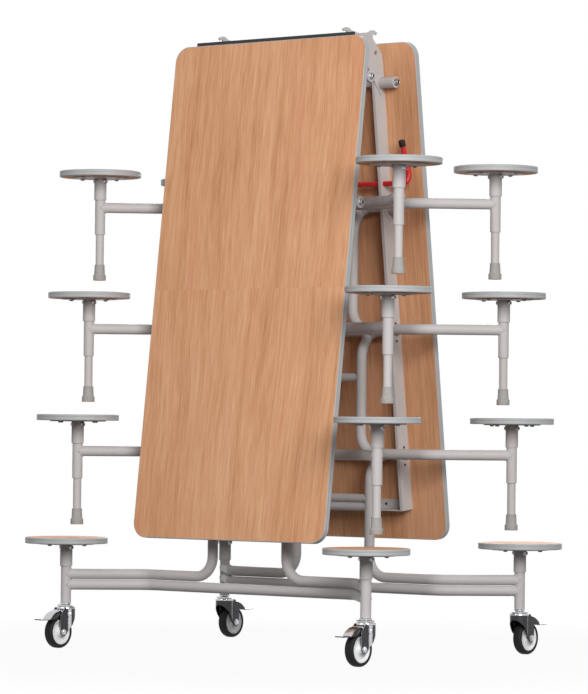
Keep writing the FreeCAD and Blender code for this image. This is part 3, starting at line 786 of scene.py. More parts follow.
@dataclass
class Workshop:
    """Finishes, patterns and the last steps that every piece shares."""

    layout: Layout
    finishes: dict[Slot, bpy.types.Material]
    welds: WeldBead
    fixings: Fixings
    mouldings: SweptMoulding
    weld_width: float = 0.0038

    def piece(self, name: str, mesh: bpy.types.Mesh, slot: Slot, body: str,
              *replaced: str, extra: Sequence[bpy.types.Material] = ()) -> bpy.types.Object:
        """Dress a mesh, fix it to its body and report it.

        Args:
            name: The piece's name.
            mesh: Its mesh, in place.
            slot: Its finish.
            body: The body that it moves with.
            *replaced: The nodes that it stands for.
            extra: Further materials, for faces numbered above 0.

        Returns:
            The piece.
        """
        numbers = [face.material_index for face in mesh.polygons]
        mesh.materials.clear()
        for material in (self.finishes[slot], *extra):
            mesh.materials.append(material)
        mesh.polygons.foreach_set("material_index", numbers)
        made = loose_object(name, mesh)
        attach(made, body)
        if replaced:
            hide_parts(*replaced)
        LOG.info("%s on %s: %d faces", name, body, len(mesh.polygons))
        return made

    def fasten(self, name: str, model: str, slot: Slot, body: str, place: Matrix,
               spots: Iterable[tuple[Vector, Vector]], size: float = 1.0) -> None:
        """Copy a fastening to each spot.

        Args:
            name: The piece's name.
            model: The object to copy.
            slot: Its finish.
            body: The body that it moves with.
            place: Where the spots' frame stands.
            spots: Each spot and the direction that it faces.
            size: Scale of the copies.
        """
        made = self.fixings.run(facing_mesh(name, spots, place), Fixing=bpy.data.objects[model],
                                Size=size, Material=self.finishes[slot])
        self.piece(name, shaded(made), slot, body)

    def weld(self, body: str, place: Matrix, lines: Iterable[list[Vector]], seed: int) -> None:
        """Lay a coated bead along each line.

        Args:
            body: The body that the beads move with.
            place: Where the lines' frame stands.
            lines: The closed lines.
            seed: Seed of the drops' sizes.
        """
        paths = path_mesh(f"{body}_welds", lines)
        paths.transform(place)
        made = self.welds.run(paths, Width=self.weld_width, Spacing=self.weld_width / 2, Seed=seed,
                              Material=self.finishes[Slot.POWDER])
        self.piece(f"{body}_welds", made, Slot.POWDER, body)

    def mould(self, name: str, body: str, place: Matrix, lines: Iterable[list[Vector]],
              section: list[Vector], replaced: str) -> None:
        """Sweep an edge moulding round each line.

        Args:
            name: The piece's name.
            body: The body that it moves with.
            place: Where the lines' frame stands.
            lines: The closed lines, which lie flat.
            section: The moulding's outline.
            replaced: The node that it stands for.
        """
        outline = loose_object("section", path_mesh("section", [section]))
        made = self.mouldings.run(path_mesh(name, lines), Section=outline,
                                  Material=self.finishes[Slot.MOULDING])
        bpy.data.objects.remove(outline)
        made.transform(place)
        self.piece(name, shaded(made), Slot.MOULDING, body, replaced)


def saddle(host: Vector, axis: Vector, way: Vector, radius: float, host_radius: float,
           steps: int = 40) -> list[Vector]:
    """Line where a tube meets a host tube at a right angle.

    Args:
        host: A point on both axes.
        axis: Direction of the host tube.
        way: Direction in which the joining tube leaves.
        radius: Radius of the joining tube.
        host_radius: Radius of the host tube.
        steps: Number of points.

    Returns:
        The closed line.
    """
    across = way.cross(axis)
    line = []
    for i in range(steps):
        angle = 2 * math.pi * i / steps
        aside = radius * math.sin(angle)
        out = math.sqrt(max(host_radius ** 2 - aside ** 2, 0.0))
        line.append(host + way * out + axis * (radius * math.cos(angle)) + across * aside)
    return line


def ring(centre: Vector, axis: Vector, radius: float, steps: int = 40) -> list[Vector]:
    """Circle of points about an axis.

    Args:
        centre: Its middle.
        axis: Direction of the axis.
        radius: Its radius.
        steps: Number of points.

    Returns:
        The points, in turn.
    """
    first = axis.orthogonal().normalized()
    second = axis.cross(first)
    turns = [2 * math.pi * i / steps for i in range(steps)]
    return [centre + (first * math.cos(t) + second * math.sin(t)) * radius for t in turns]


def placed_along(axis: Vector, origin: Vector) -> Matrix:
    """Place whose Z axis points along a direction."""
    return Matrix.Translation(origin) @ axis.to_track_quat("Z", "Y").to_matrix().to_4x4()


@dataclass(frozen=True)
class StoolRow:
    """One stool frame's welds, fastenings, seat mouldings and rubber feet."""

    half: Half
    row: int
    tube: float = 0.0318
    crossbar: float = 0.0254
    sleeve: float = 0.0381
    collar: float = 0.036
    arm_x: float = 0.145
    arm_in: float = 0.038
    arm_lean: float = 0.061
    crossbar_drop: float = 0.138
    end_crossbar_drop: float = 0.131
    pair_gap: float = 0.001
    seat_base: float = 0.094
    seat_plate: float = 0.003
    screw_circle: float = 0.150
    screws: int = 4
    bolt_drop: float = 0.012
    nut_inset: float = 0.0012
    seat_radius: float = 0.127
    seat_thickness: float = 0.019
    edge_width: float = 0.005
    edge_round: float = 0.003
    foot_height: float = 0.049

    @property
    def is_end(self) -> bool:
        """Whether this is the row on castors."""
        return self.row == Layout.rows - 1

    @property
    def body(self) -> str:
        """The body that carries the row."""
        return f"{self.half.value}_end" if self.is_end else f"{self.half.value}_row{self.row + 1}"

    def build(self, shop: Workshop) -> None:
        """Make every piece of the row.

        Args:
            shop: The workshop.
        """
        turn = self.half.turn
        posts = [shop.layout.post(self.row, side) for side in SIDES]
        shop.weld(self.body, turn, self._weld_lines(shop.layout.pivot(self.row), posts), self.row)
        shop.fasten(f"{self.body}_seat_screws", "screw_model", Slot.POWDER, self.body, turn,
                    self._seat_screws(posts))
        shop.fasten(f"{self.body}_socket_nuts", "nut_model", Slot.ZINC, self.body, turn,
                    self._socket_nuts(posts))
        seats = [ring(post + Z_AXIS * self.seat_base, Z_AXIS, self.seat_radius - self.edge_width, 96)
                 for post in posts]
        shop.mould(f"{self.body}_seat_bumpers", self.body, turn, seats,
                   bumper_section(self.edge_width, self.seat_thickness, self.edge_round),
                   f"{self.body}_seat_edges")
        if not self.is_end:
            feet = self._feet([post - Z_AXIS * shop.layout.arm_height for post in posts])
            feet.transform(turn)
            shop.piece(f"{self.body}_rubber_feet", feet, Slot.FOOT, self.body, f"{self.body}_feet")

    def _weld_lines(self, pivot: Vector, posts: list[Vector]) -> list[list[Vector]]:
        """Seams where the tubes of the frame meet.

        Args:
            pivot: The middle of the row's pivot axis.
            posts: Where each post meets its arm.

        Returns:
            The closed lines.
        """
        radius = self.tube / 2
        drops = [self.crossbar_drop]
        levels = [0.0]
        if self.is_end:
            drops = [self.end_crossbar_drop, self.end_crossbar_drop + self.crossbar + self.pair_gap]
            levels.append(-self.tube - self.pair_gap)
        lean = Vector((0.0, self.arm_in, -self.arm_lean)).normalized()
        lines = []
        for side, post in zip(SIDES, posts):
            inwards = Vector((-side, 1.0, 0.0)).normalized()
            lines += [saddle(post + Z_AXIS * level, Z_AXIS, inwards, radius, radius) for level in levels]
            top = pivot + X_AXIS * (side * self.arm_x)
            lines.append(saddle(top, X_AXIS, lean, radius, self.collar / 2))
            for drop in drops:
                spot = top + Vector((0.0, self.arm_in, -drop))
                lines.append(saddle(spot, Z_AXIS, X_AXIS * -side, self.crossbar / 2, radius))
            lines.append(ring(post + Z_AXIS * (self.seat_base - self.seat_plate), Z_AXIS,
                              self.sleeve / 2))
        return lines

    def _seat_screws(self, posts: list[Vector]) -> Iterable[tuple[Vector, Vector]]:
        """Each screw under the seats.

        Args:
            posts: Where each post meets its arm.

        Returns:
            The place and the direction of each.
        """
        for post in posts:
            for arm in circle(self.screw_circle / 2, self.seat_base - self.seat_plate, self.screws):
                yield post + arm, DOWN

    def _socket_nuts(self, posts: list[Vector]) -> Iterable[tuple[Vector, Vector]]:
        """Each end of the bolts through the seats' sleeves.

        Args:
            posts: Where each post meets its arm.

        Returns:
            The place and the direction of each.
        """
        for post in posts:
            for way in SIDES:
                end = way * (self.sleeve / 2 - self.nut_inset)
                spot = Vector((end, 0.0, self.seat_base - self.bolt_drop))
                yield post + spot, Vector((way, 0.0, 0.0))

    def _feet(self, places: list[Vector]) -> bpy.types.Mesh:
        """Rubber feet with a lip at the tube and a grooved ring at the floor.

        Args:
            places: The floor under each post.

        Returns:
            The mesh of both feet.
        """
        form = Form()
        top = self.foot_height
        profile = [(0.0, 0.0075), (0.0126, 0.0075), (0.0128, top), (0.0147, top),
                   (0.0154, top - 0.0008), (0.0156, top - 0.0038), (0.0153, top - 0.0046),
                   (0.0155, top - 0.0060), (0.0168, 0.0192), (0.0173, 0.0179), (0.0188, 0.0172),
                   (0.0195, 0.0165), (0.01975, 0.0152), (0.01975, 0.0098), (0.0193, 0.0093),
                   (0.0193, 0.0087), (0.01975, 0.0082), (0.01975, 0.0014), (0.0193, 0.0004),
                   (0.0185, 0.0), (0.0, 0.0)]
        for place in places:
            form.turned(profile, Matrix.Translation(place), 48)
        return form.done(f"{self.body}_rubber_feet")


def bumper_section(width: float, height: float, rounding: float) -> list[Vector]:
    """Closed section of an edge moulding, x outwards from the board and -y up its edge.

    Args:
        width: How far it stands out from the board.
        height: Thickness of the board.
        rounding: Radius of its outer edges.

    Returns:
        The outline's points.
    """
    steps = 6
    groove = 0.0006
    arcs = []
    for middle, first in ((rounding, -math.pi / 2), (height - rounding, 0.0)):
        angles = [first + math.pi / 2 * i / steps for i in range(steps + 1)]
        arcs.append([(width - rounding + rounding * math.cos(angle),
                      middle + rounding * math.sin(angle)) for angle in angles])
    middle = height / 2
    notch = [(width, middle - groove), (width - groove / 2, middle), (width, middle + groove)]
    points = [(0.0, 0.0), (width - rounding, 0.0), *arcs[0], *notch, *arcs[1], (0.0, height)]
    return [Vector((x, -y, 0.0)) for x, y in reversed(points)]


@dataclass(frozen=True)
class TopEdge:
    """Edge moulding and the weld seams of one top."""

    half: Half
    width: float = 0.750
    length: float = 1.524
    thickness: float = 0.019
    corner: float = 0.048
    corner_steps: int = 12
    edging: float = 0.002
    rounding: float = 0.0018
    rail_face: float = 0.2495
    stub: float = 0.035
    stub_rows: int = 2
    seam_out: float = 0.004
    thick_seam_out: float = 0.005
    weld_seed: int = 11

    def build(self, shop: Workshop) -> None:
        """Make the moulding and the seams round the pivot ends.

        Args:
            shop: The workshop.
        """
        body = f"{self.half.value}_top"
        place = self.half.turn @ shop.layout.fold
        shop.mould(f"{body}_moulding", body, place, [self._board_outline()],
                   bumper_section(self.edging, self.thickness, self.rounding), f"{body}_edging")
        seams = []
        for row in range(self.stub_rows):
            thick = row == 0 and self.half is Half.REAR
            out = self.rail_face + (self.thick_seam_out if thick else self.seam_out)
            seams += [ring(shop.layout.flat_pivot(row, side * out), X_AXIS, self.stub / 2)
                      for side in SIDES]
        shop.weld(body, place, seams, self.weld_seed)

    def _board_outline(self) -> list[Vector]:
        """Outline of the board inside the moulding, at its under face.

        Returns:
            The points, in turn.
        """
        radius = self.corner - self.edging
        corner_x = self.width / 2 - self.edging - radius
        near, far = -self.edging - radius, -self.length + self.edging + radius
        points = []
        for first, (x, y) in enumerate(((corner_x, near), (-corner_x, near), (-corner_x, far),
                                        (corner_x, far))):
            for i in range(self.corner_steps + 1):
                angle = math.pi / 2 * (first + i / self.corner_steps)
                points.append(Vector((x + radius * math.cos(angle), y + radius * math.sin(angle),
                                      -self.thickness)))
        return points


@dataclass(frozen=True)
class RailFittings:
    """Rims on a half's bolts, black discs painted as the shade in the bolts' sockets and in its holes,
    and the crosspiece's screws.
    """

    half: Half
    rail_face: float = 0.2495
    long_end: float = 0.372
    short_ends: tuple[float, float] = (0.312, 0.288)
    bolt_height: float = 0.0085
    hinge_height: float = 0.0123
    hole_spacing: float = 0.054
    hole_shade_size: float = 0.9
    crosspiece_station: float = 1.415
    crosspiece_depth: float = 0.0207
    screw_pitch: float = 0.075
    screw_size: float = 1.08

    def build(self, shop: Workshop) -> None:
        """Make the rims, the black discs of painted shade in the sockets and holes, and the screws.

        Args:
            shop: The workshop.
        """
        bolts = list(self._bolt_ends(shop.layout))
        screws = [(Vector((self.screw_pitch * step, -self.crosspiece_station, -self.crosspiece_depth)),
                   DOWN) for step in (-2, -1, 1, 2)]
        holes = self._rail_holes(shop.layout)
        body = f"{self.half.value}_top"
        for name, model, slot, spots, size in (
                ("bolt_rims", "rim_model", Slot.ZINC, bolts, 1.0),
                # Black discs on the bolt heads and in the rail holes are painted shade for the dark
                # insides of sockets and holes.
                ("bolt_sockets", "plug_model", Slot.GRIP, bolts, 1.0),
                ("hole_plugs", "plug_model", Slot.GRIP, holes, self.hole_shade_size),
                ("crosspiece_screws", "plug_model", Slot.DARK, screws, self.screw_size)):
            shop.fasten(f"{body}_{name}", model, slot, body, self.half.turn @ shop.layout.fold,
                        spots, size)

    def _bolt_ends(self, layout: Layout) -> Iterable[tuple[Vector, Vector]]:
        """Middle of each bolt head on the pivots and, on the front half, the hinge.

        Args:
            layout: The table's layout.

        Returns:
            The place and the direction of each.
        """
        for side in SIDES:
            out = Vector((side, 0.0, 0.0))
            for row in range(layout.rows):
                reach = self.rail_face
                if row < len(self.short_ends):
                    reach = self.long_end if side > 0 else self.short_ends[row]
                yield layout.flat_pivot(row) + out * (reach + self.bolt_height), out
            if self.half is Half.FRONT:
                hinge = Vector((0.0, layout.hinge_gap, -layout.hinge_depth))
                yield hinge + out * (self.rail_face + self.hinge_height), out

    def _rail_holes(self, layout: Layout) -> Iterable[tuple[Vector, Vector]]:
        """Each hole beside the later pivots.

        Args:
            layout: The table's layout.

        Returns:
            The place and the direction of each.
        """
        for side in SIDES:
            for row in range(1, layout.rows):
                for end in (-0.5, 0.5):
                    pivot = layout.flat_pivot(row, side * self.rail_face)
                    yield pivot - Vector((0.0, end * self.hole_spacing, 0.0)), Vector((side, 0.0, 0.0))


@dataclass(frozen=True)
class LeverCap:
    """Ribbed rubber cap on the lock lever of the rear top."""

    lever_x: float = 0.338
    station: float = 0.426
    depth: float = 0.053
    length: float = 0.1295
    bend: float = 0.026
    lean: float = 0.014
    radius: float = 0.01025
    height: float = 0.021
    overlap: float = 0.002
    grooves: int = 3
    first_groove: float = 0.004
    groove_pitch: float = 0.0042
    groove_depth: float = 0.0009

    def build(self, shop: Workshop) -> None:
        """Make the cap.

        Args:
            shop: The workshop.
        """
        base = Vector((-self.lever_x, -self.station + self.bend, -self.depth + self.bend / 2))
        tip = Vector((-self.lever_x, -self.station + self.length, -self.depth - self.lean))
        along = (tip - base).normalized()
        start = tip - along * (self.height - self.overlap)
        profile = [(0.0, 0.0), (self.radius - 0.0006, 0.0), (self.radius, 0.0012)]
        floor = self.radius - self.groove_depth
        for i in range(self.grooves):
            low = self.first_groove + self.groove_pitch * i
            profile += [(self.radius, low), (floor, low + 0.0006), (floor, low + 0.0016),
                        (self.radius, low + 0.0022)]
        profile += [(self.radius, self.height - 0.005), (self.radius - 0.0012, self.height - 0.0018),
                    (self.radius - 0.0040, self.height - 0.0004), (0.0, self.height)]
        mesh = Form().turned(profile, placed_along(along, start)).done("lever_cap", 40)
        mesh.transform(Half.REAR.turn @ shop.layout.fold)
        shop.piece("lever_cap", mesh, Slot.GRIP, "rear_lock_lever", "rear_lever_grip")


@dataclass(frozen=True)
class Castor:
    """Pressed swivel fork, wheel, tyre and brake pedal, drawn trailing towards -Y."""

    half: Half
    side: int
    trail: float = 0.033
    wheel: float = 0.050
    tyre_half: float = 0.015
    leg_x: float = 0.022
    leg_back: float = -0.052
    leg_front: float = -0.014
    bend_front: float = -0.002
    leg_share: float = 0.35
    bend_share: float = 0.45
    hood: float = 0.029
    sheet: float = 0.0026
    lobe: float = 0.013
    lobe_top: float = 0.052
    lobe_front: float = 0.019
    waist: float = 0.092
    waist_rise: float = 0.020
    brow: float = 0.106
    top: float = 0.124
    pedal_arc: float = 0.066
    pedal_start: float = 4.0
    pedal_sweep: float = 48.0
    pedal_half: float = 0.0168
    pedal_bulge: float = 0.0007
    pedal_sheet: float = 0.0026
    tab_height: float = 0.0400
    tab_neck: float = 0.050
    tab_narrowing: float = 0.0040
    pedal_reach: float = 0.093
    wall_depth: float = 0.0170
    wall_sheet: float = 0.0013
    pedal_pin: float = 0.063

    @property
    def body(self) -> str:
        """The castor's name and body."""
        return f"{self.half.value}_{'left' if self.side < 0 else 'right'}_castor"

    @property
    def axle(self) -> Vector:
        """Wheel centre from the floor under the stem."""
        return Vector((0.0, -self.trail, self.wheel))

    def build(self, shop: Workshop, shade_chrome: bpy.types.Material) -> None:
        """Make the castor's pieces.

        Args:
            shop: The workshop.
            shade_chrome: Darker copy of the chrome, painted on the faces that stand for shade and dark
                reflection.
        """
        post = shop.layout.post(Layout.rows - 1, self.side)
        place = self.half.turn @ Matrix.Translation((post.x, post.y, 0.0))
        wheel, pedal = f"{self.body}_wheel", f"{self.body}_pedal"
        for name, mesh, slot, body, replaced, extra in (
                ("pressed_fork", self._fork(), Slot.CHROME, self.body, ["fork"], [shade_chrome]),
                ("crown_rings", self._crown(), Slot.CHROME, self.body, [], []),
                ("wheel_centre", self._rim(), Slot.NYLON, wheel, ["rim"], []),
                ("solid_tyre", self._tyre(), Slot.TYRE, wheel, ["tyre"], []),
                ("brake_plate", self._pedal(), Slot.CHROME, pedal, ["pedal"], [shade_chrome])):
            mesh.transform(place)
            nodes = [f"{self.body}_{node}" for node in replaced]
            shop.piece(f"{self.body}_{name}", mesh, slot, body, *nodes, extra=extra)

    def _plan(self, share: float) -> tuple[float, float]:
        """A point of the fork's plan, from the back of a leg at 0 to the middle of the front at 1.

        Args:
            share: How far along the plan.

        Returns:
            Across and along the castor.
        """
        if share < self.leg_share:
            return self.leg_x, self.leg_back + (self.leg_front - self.leg_back) * share / self.leg_share
        if share < self.bend_share:
            step = (share - self.leg_share) / (self.bend_share - self.leg_share)
            ease = step * step * (3 - 2 * step)
            return (self.leg_x + (self.hood - 0.0001 - self.leg_x) * ease,
                    self.leg_front + (self.bend_front - self.leg_front) * step)
        start = math.asin(self.bend_front / self.hood)
        angle = start + (math.pi / 2 - start) * (share - self.bend_share) / (1 - self.bend_share)
        return self.hood * math.cos(angle), self.hood * math.sin(angle)

    def _share(self, y: float) -> float:
        """Share of the plan at a point along the leg, the other way round from _plan."""
        return (y - self.leg_back) / (self.leg_front - self.leg_back) * self.leg_share

    def _lobe(self, height: float) -> float:
        """Half width of the round lobe at the axle, at a height."""
        return math.sqrt(max(self.lobe ** 2 - (height - self.wheel) ** 2, 0.0))

    def _back(self, height: float) -> float:
        """Back edge of a leg at a height, as a share of the plan.

        Args:
            height: Height above the floor.

        Returns:
            The share of the plan.
        """
        if height < self.wheel:
            return self._share(-self.trail - self._lobe(height))
        rise = max(0.0, (height - self.waist) / (self.top - self.waist))
        return self._share(-self.trail - self.lobe + self.waist_rise * rise ** 1.6)

    def _front(self, height: float) -> float:
        """Front edge of a leg, or the middle of the front, at a height.

        Args:
            height: Height above the floor.

        Returns:
            The share of the plan.
        """
        if height < self.lobe_top:
            foot = self.wheel - self.lobe
            swell = max(0.0, (height - foot) / (self.lobe_top - foot))
            return self._share(-self.trail + self._lobe(height) + (self.lobe_front - self.lobe) * swell)
        rise = min((height - self.lobe_top) / (self.brow - self.lobe_top), 1.0)
        return 1.0 - (1 - self.leg_share) * math.sqrt(1.0 - rise)

    def _fork(self) -> bpy.types.Mesh:
        """Pressed sheet of the fork with its axle bolt.

        Returns:
            The mesh.
        """
        low = self.wheel - self.lobe + 0.0002
        heights = [low + (self.wheel - low) * (1 - math.cos(math.pi / 2 * i / 8)) for i in range(8)]
        heights += [self.wheel + (self.brow - self.wheel) * math.sin(math.pi / 2 * i / 22)
                    for i in range(23)]
        heights += [self.brow + (self.top - self.brow) * i / 5 for i in range(1, 6)]
        columns = 30
        form = Form()
        for mirror in SIDES:
            rows = []
            for height in heights:
                back, front = self._back(height), self._front(height)
                plan = [self._plan(back + (front - back) * j / columns) for j in range(columns + 1)]
                row = [Vector((mirror * x, y, height)) for x, y in plan]
                rows.append(row[::mirror])
            form.skin(rows, round_rows=False)
        sheet = thickened(form.done("pressed_fork", 50), self.sheet, 0.0006)
        # The legs' flat sides and the faces turned forwards get the darker chrome as painted shade and
        # dark reflection; the bends keep the bright chrome.
        paint(sheet, lambda face: abs(face.normal.x) > 0.93 or face.normal.y > 0.25)
        bolts = Form()
        for way in SIDES:
            out = placed_along(Vector((way, 0.0, 0.0)), self.axle + Vector((way * self.leg_x, 0, 0)))
            bolts.turned([(0.0, -0.001), (0.0095, -0.001), (0.0095, 0.0010), (0.0090, 0.0014),
                          (0.0, 0.0014)], out)
            bolts.turned([(0.0, 0.001), (0.0081, 0.001), (0.0081, 0.0048), (0.0074, 0.0054),
                          (0.0045, 0.0056), (0.0, 0.0056)], out, 48, outline=Outline.HEXAGON)
        return joined("pressed_fork", sheet, bolts.done("axle_bolt"))

    def _crown(self) -> bpy.types.Mesh:
        """Rolled rings of the swivel bearing above the fork.

        Returns:
            The mesh.
        """
        profile = [(0.0065, 0.1190), (0.0282, 0.1190), (0.0299, 0.1202), (0.0300, 0.1236),
                   (0.0290, 0.1252), (0.0242, 0.1258), (0.0232, 0.1266), (0.0232, 0.1280),
                   (0.0262, 0.1284), (0.0274, 0.1294), (0.0274, 0.1316), (0.0262, 0.1326),
                   (0.0200, 0.1336), (0.0190, 0.1346), (0.0188, 0.1370), (0.0180, 0.1377),
                   (0.0065, 0.1377)]
        return Form().turned(profile, Matrix.Identity(4), 64, loop=True).done("crown_rings", 35)

    def _wheel_ring(self, name: str, side: Profile, crease: float) -> bpy.types.Mesh:
        """A ring about the axle, the same on both sides of the wheel.

        Args:
            name: Its name.
            side: Profile of one side, from the hub outwards.
            crease: Edges sharper than this many degrees stay sharp.

        Returns:
            The mesh.
        """
        other = [(radius, -x) for radius, x in reversed(side)]
        place = placed_along(X_AXIS, self.axle)
        return Form().turned(side + other, place, 96, loop=True).done(name, crease)

    def _rim(self) -> bpy.types.Mesh:
        """Moulded wheel centre, dished on both sides.

        Returns:
            The mesh.
        """
        side = [(0.0042, 0.0187), (0.0112, 0.0187), (0.0122, 0.0180), (0.0127, 0.0165),
                (0.0145, 0.0120), (0.0175, 0.0092), (0.0215, 0.0080), (0.0275, 0.0078),
                (0.0305, 0.0086), (0.0328, 0.0104), (0.0345, 0.0126), (0.0358, 0.0131),
                (0.0380, 0.0131), (0.0389, 0.0124)]
        return self._wheel_ring("wheel_centre", side, 50)

    def _tyre(self) -> bpy.types.Mesh:
        """Solid tyre with rounded shoulders and two grooves round the tread.

        Returns:
            The mesh.
        """
        half = self.tyre_half
        side = [(0.0391, half - 0.0008), (0.0400, half), (0.0428, half), (0.0450, half - 0.0007),
                (0.0472, half - 0.0022), (0.0487, half - 0.0044), (0.0496, half - 0.0066),
                (0.0499, 0.0068), (0.0499, 0.0062), (0.0488, 0.0058), (0.0488, 0.0050),
                (0.0500, 0.0046), (0.0500, 0.0020)]
        return self._wheel_ring("solid_tyre", side, 40)

    def _pedal(self) -> bpy.types.Mesh:
        """Brake plate over the wheel: arc, flat foot tab, side walls and pin.

        Returns:
            The mesh.
        """
        pins = Form()
        along = placed_along(X_AXIS, Z_AXIS * self.pedal_pin)
        for radius, reach, sides in ((0.0050, 0.0165, 24), (0.0024, 0.0220, 16)):
            pins.turned([(0.0, -reach), (radius, -reach), (radius, reach), (0.0, reach)], along, sides)
        walls = [self._pedal_wall(way) for way in SIDES]
        mesh = joined("brake_plate", self._pedal_plate(), *walls, pins.done("pins"))
        mesh.transform(Matrix.Translation(self.axle))
        return mesh

    def _pedal_plate(self) -> bpy.types.Mesh:
        """Arc and tab of the pedal, slightly domed across, with painted shade in darker chrome on its
        under side.

        Returns:
            The mesh.
        """
        tab, arc_steps, columns = self.tab_height, 18, 16
        path = []
        for i in range(arc_steps + 1):
            angle = math.radians(self.pedal_start + self.pedal_sweep * i / arc_steps)
            path.append((-self.pedal_arc * math.sin(angle), self.pedal_arc * math.cos(angle)))
        path += [(-0.0540, tab - 0.0007), (-0.0565, tab - 0.0008), (-0.0610, tab - 0.0003),
                 (-0.0680, tab), (-0.078, tab), (-0.085, tab), (-0.089, tab + 0.0008),
                 (-self.pedal_reach, tab + 0.0020)]
        rows = []
        for y, z in path:
            narrow = min(max((-y - self.tab_neck) / 0.010, 0.0), 1.0)
            half = self.pedal_half - self.tab_narrowing * narrow
            shares = [2 * j / columns - 1 for j in range(columns + 1)]
            rows.append([Vector((half * share, y, z + self.pedal_bulge * (1 - share * share)
                                 * (1 - narrow))) for share in shares])
        plate = thickened(Form().skin(rows, False).done("plate", 60), self.pedal_sheet, 0.0004)
        # Faces that don't face up get the darker chrome as painted shade.
        paint(plate, lambda face: face.normal.z <= 0.5)
        return plate

    def _pedal_wall(self, way: int) -> bpy.types.Mesh:
        """Wall of the pedal on one side, deepest in the middle of the arc.

        Args:
            way: -1 for the left wall and 1 for the right.

        Returns:
            The mesh.
        """
        strip, steps = [], 14
        for i in range(steps + 1):
            angle = math.radians(6 + 45 * i / steps)
            depth = self.wall_depth * math.sin(math.pi * (0.12 + 0.76 * i / steps))
            strip.append([Vector((way * self.pedal_half, -reach * math.sin(angle),
                                  reach * math.cos(angle)))
                          for reach in (self.pedal_arc - depth, self.pedal_arc - 0.0008)])
        sheet = Form().skin(strip, False).done("wall", 60)
        if sheet.polygons[0].normal.x * way < 0:
            sheet.flip_normals()
        wall = thickened(sheet, self.wall_sheet, 0.0003)
        # The whole wall gets the darker chrome as painted shade.
        paint(wall, lambda face: True)
        return wall


def paint(mesh: bpy.types.Mesh, dark: Callable[[bpy.types.MeshPolygon], bool]) -> None:
    """Give the second material, the darker chrome painted as shade and dark reflection, to the faces
    that are to be dark.
    """
    for face in mesh.polygons:
        face.material_index = int(dark(face))


def joined(name: str, *meshes: bpy.types.Mesh) -> bpy.types.Mesh:
    """One mesh of several, with each face's material number kept.

    Args:
        name: Its name.
        *meshes: The meshes, in place.

    Returns:
        The mesh.
    """
    whole = bmesh.new()
    for mesh in meshes:
        whole.from_mesh(mesh)
    made = bpy.data.meshes.new(name)
    whole.to_mesh(made)
    whole.free()
    return shaded(made, 40)


@dataclass(frozen=True)
class FixingModels:
    """Templates that the fixings pattern copies."""

    sides: int = 24
    head_radius: float = 0.0068
    head_height: float = 0.0041
    recess_depth: float = 0.0014

    def build(self) -> list[bpy.types.Object]:
        """Make a seat screw, a washered nut, a bolt's rim and a flat disc, which stands for painted
        shade in sockets and holes and for the crosspiece's screw heads.

        Returns:
            The objects to copy.
        """
        models = {
            "screw_model": self._screw(),
            "nut_model": self._turned(
                [(0.0, -0.0005), (0.0080, -0.0005), (0.0080, 0.0016), (0.0076, 0.0020), (0.0, 0.0020)]
            ).turned([(0.0, 0.0018), (0.0072, 0.0018), (0.0074, 0.0024), (0.0074, 0.0062),
                      (0.0066, 0.0070), (0.0043, 0.0070), (0.0040, 0.0064), (0.0, 0.0064)],
                     Matrix.Identity(4), self.sides, outline=Outline.HEXAGON),
            "rim_model": self._turned([(0.0048, -0.0005), (0.0048, 0.0010), (0.0054, 0.0016),
                                       (0.0068, 0.0016), (0.0074, 0.0010), (0.0074, -0.0005)], True),
            "plug_model": self._turned([(0.0, -0.0010), (0.0049, -0.0010), (0.0049, 0.0001),
                                        (0.0044, 0.0004), (0.0, 0.0004)]),
        }
        return [loose_object(name, form.done(name)) for name, form in models.items()]

    def _turned(self, profile: Profile, loop: bool = False) -> Form:
        """A profile revolved about the Z axis."""
        return Form().turned(profile, Matrix.Identity(4), self.sides, loop)

    def _screw(self) -> Form:
        """Domed head with a cross recess.

        Returns:
            The form.
        """
        radius, height = self.head_radius, self.head_height
        floor = height - self.recess_depth
        screw = self._turned([(0.0, -0.0005), (radius, -0.0005), (radius, 0.0012),
                              (radius * 0.93, 0.0024), (radius * 0.74, height - 0.0004),
                              (radius * 0.60, height)])
        return screw.skin([circle(radius * share, level, self.sides, outline)
                           for share, level, outline in (
                               (0.60, height, Outline.ROUND), (0.52, height, Outline.CROSS),
                               (0.46, floor, Outline.CROSS), (0.0, floor, Outline.ROUND))])


@dataclass(frozen=True)
class Lamp:
    """Square soft box aimed at the middle of the table."""

    name: str
    place: tuple[float, float, float]
    size: float
    power: float
    aim: tuple[float, float, float] = (0.0, 0.0, 0.9)

    def build(self) -> None:
        """Light the lamp."""
        data = bpy.data.lights.new(self.name, "AREA")
        data.size = self.size
        data.energy = self.power
        made = loose_object(self.name, data)
        way = (Vector(self.aim) - Vector(self.place)).to_track_quat("-Z", "Y")
        made.matrix_world = Matrix.Translation(self.place) @ way.to_matrix().to_4x4()


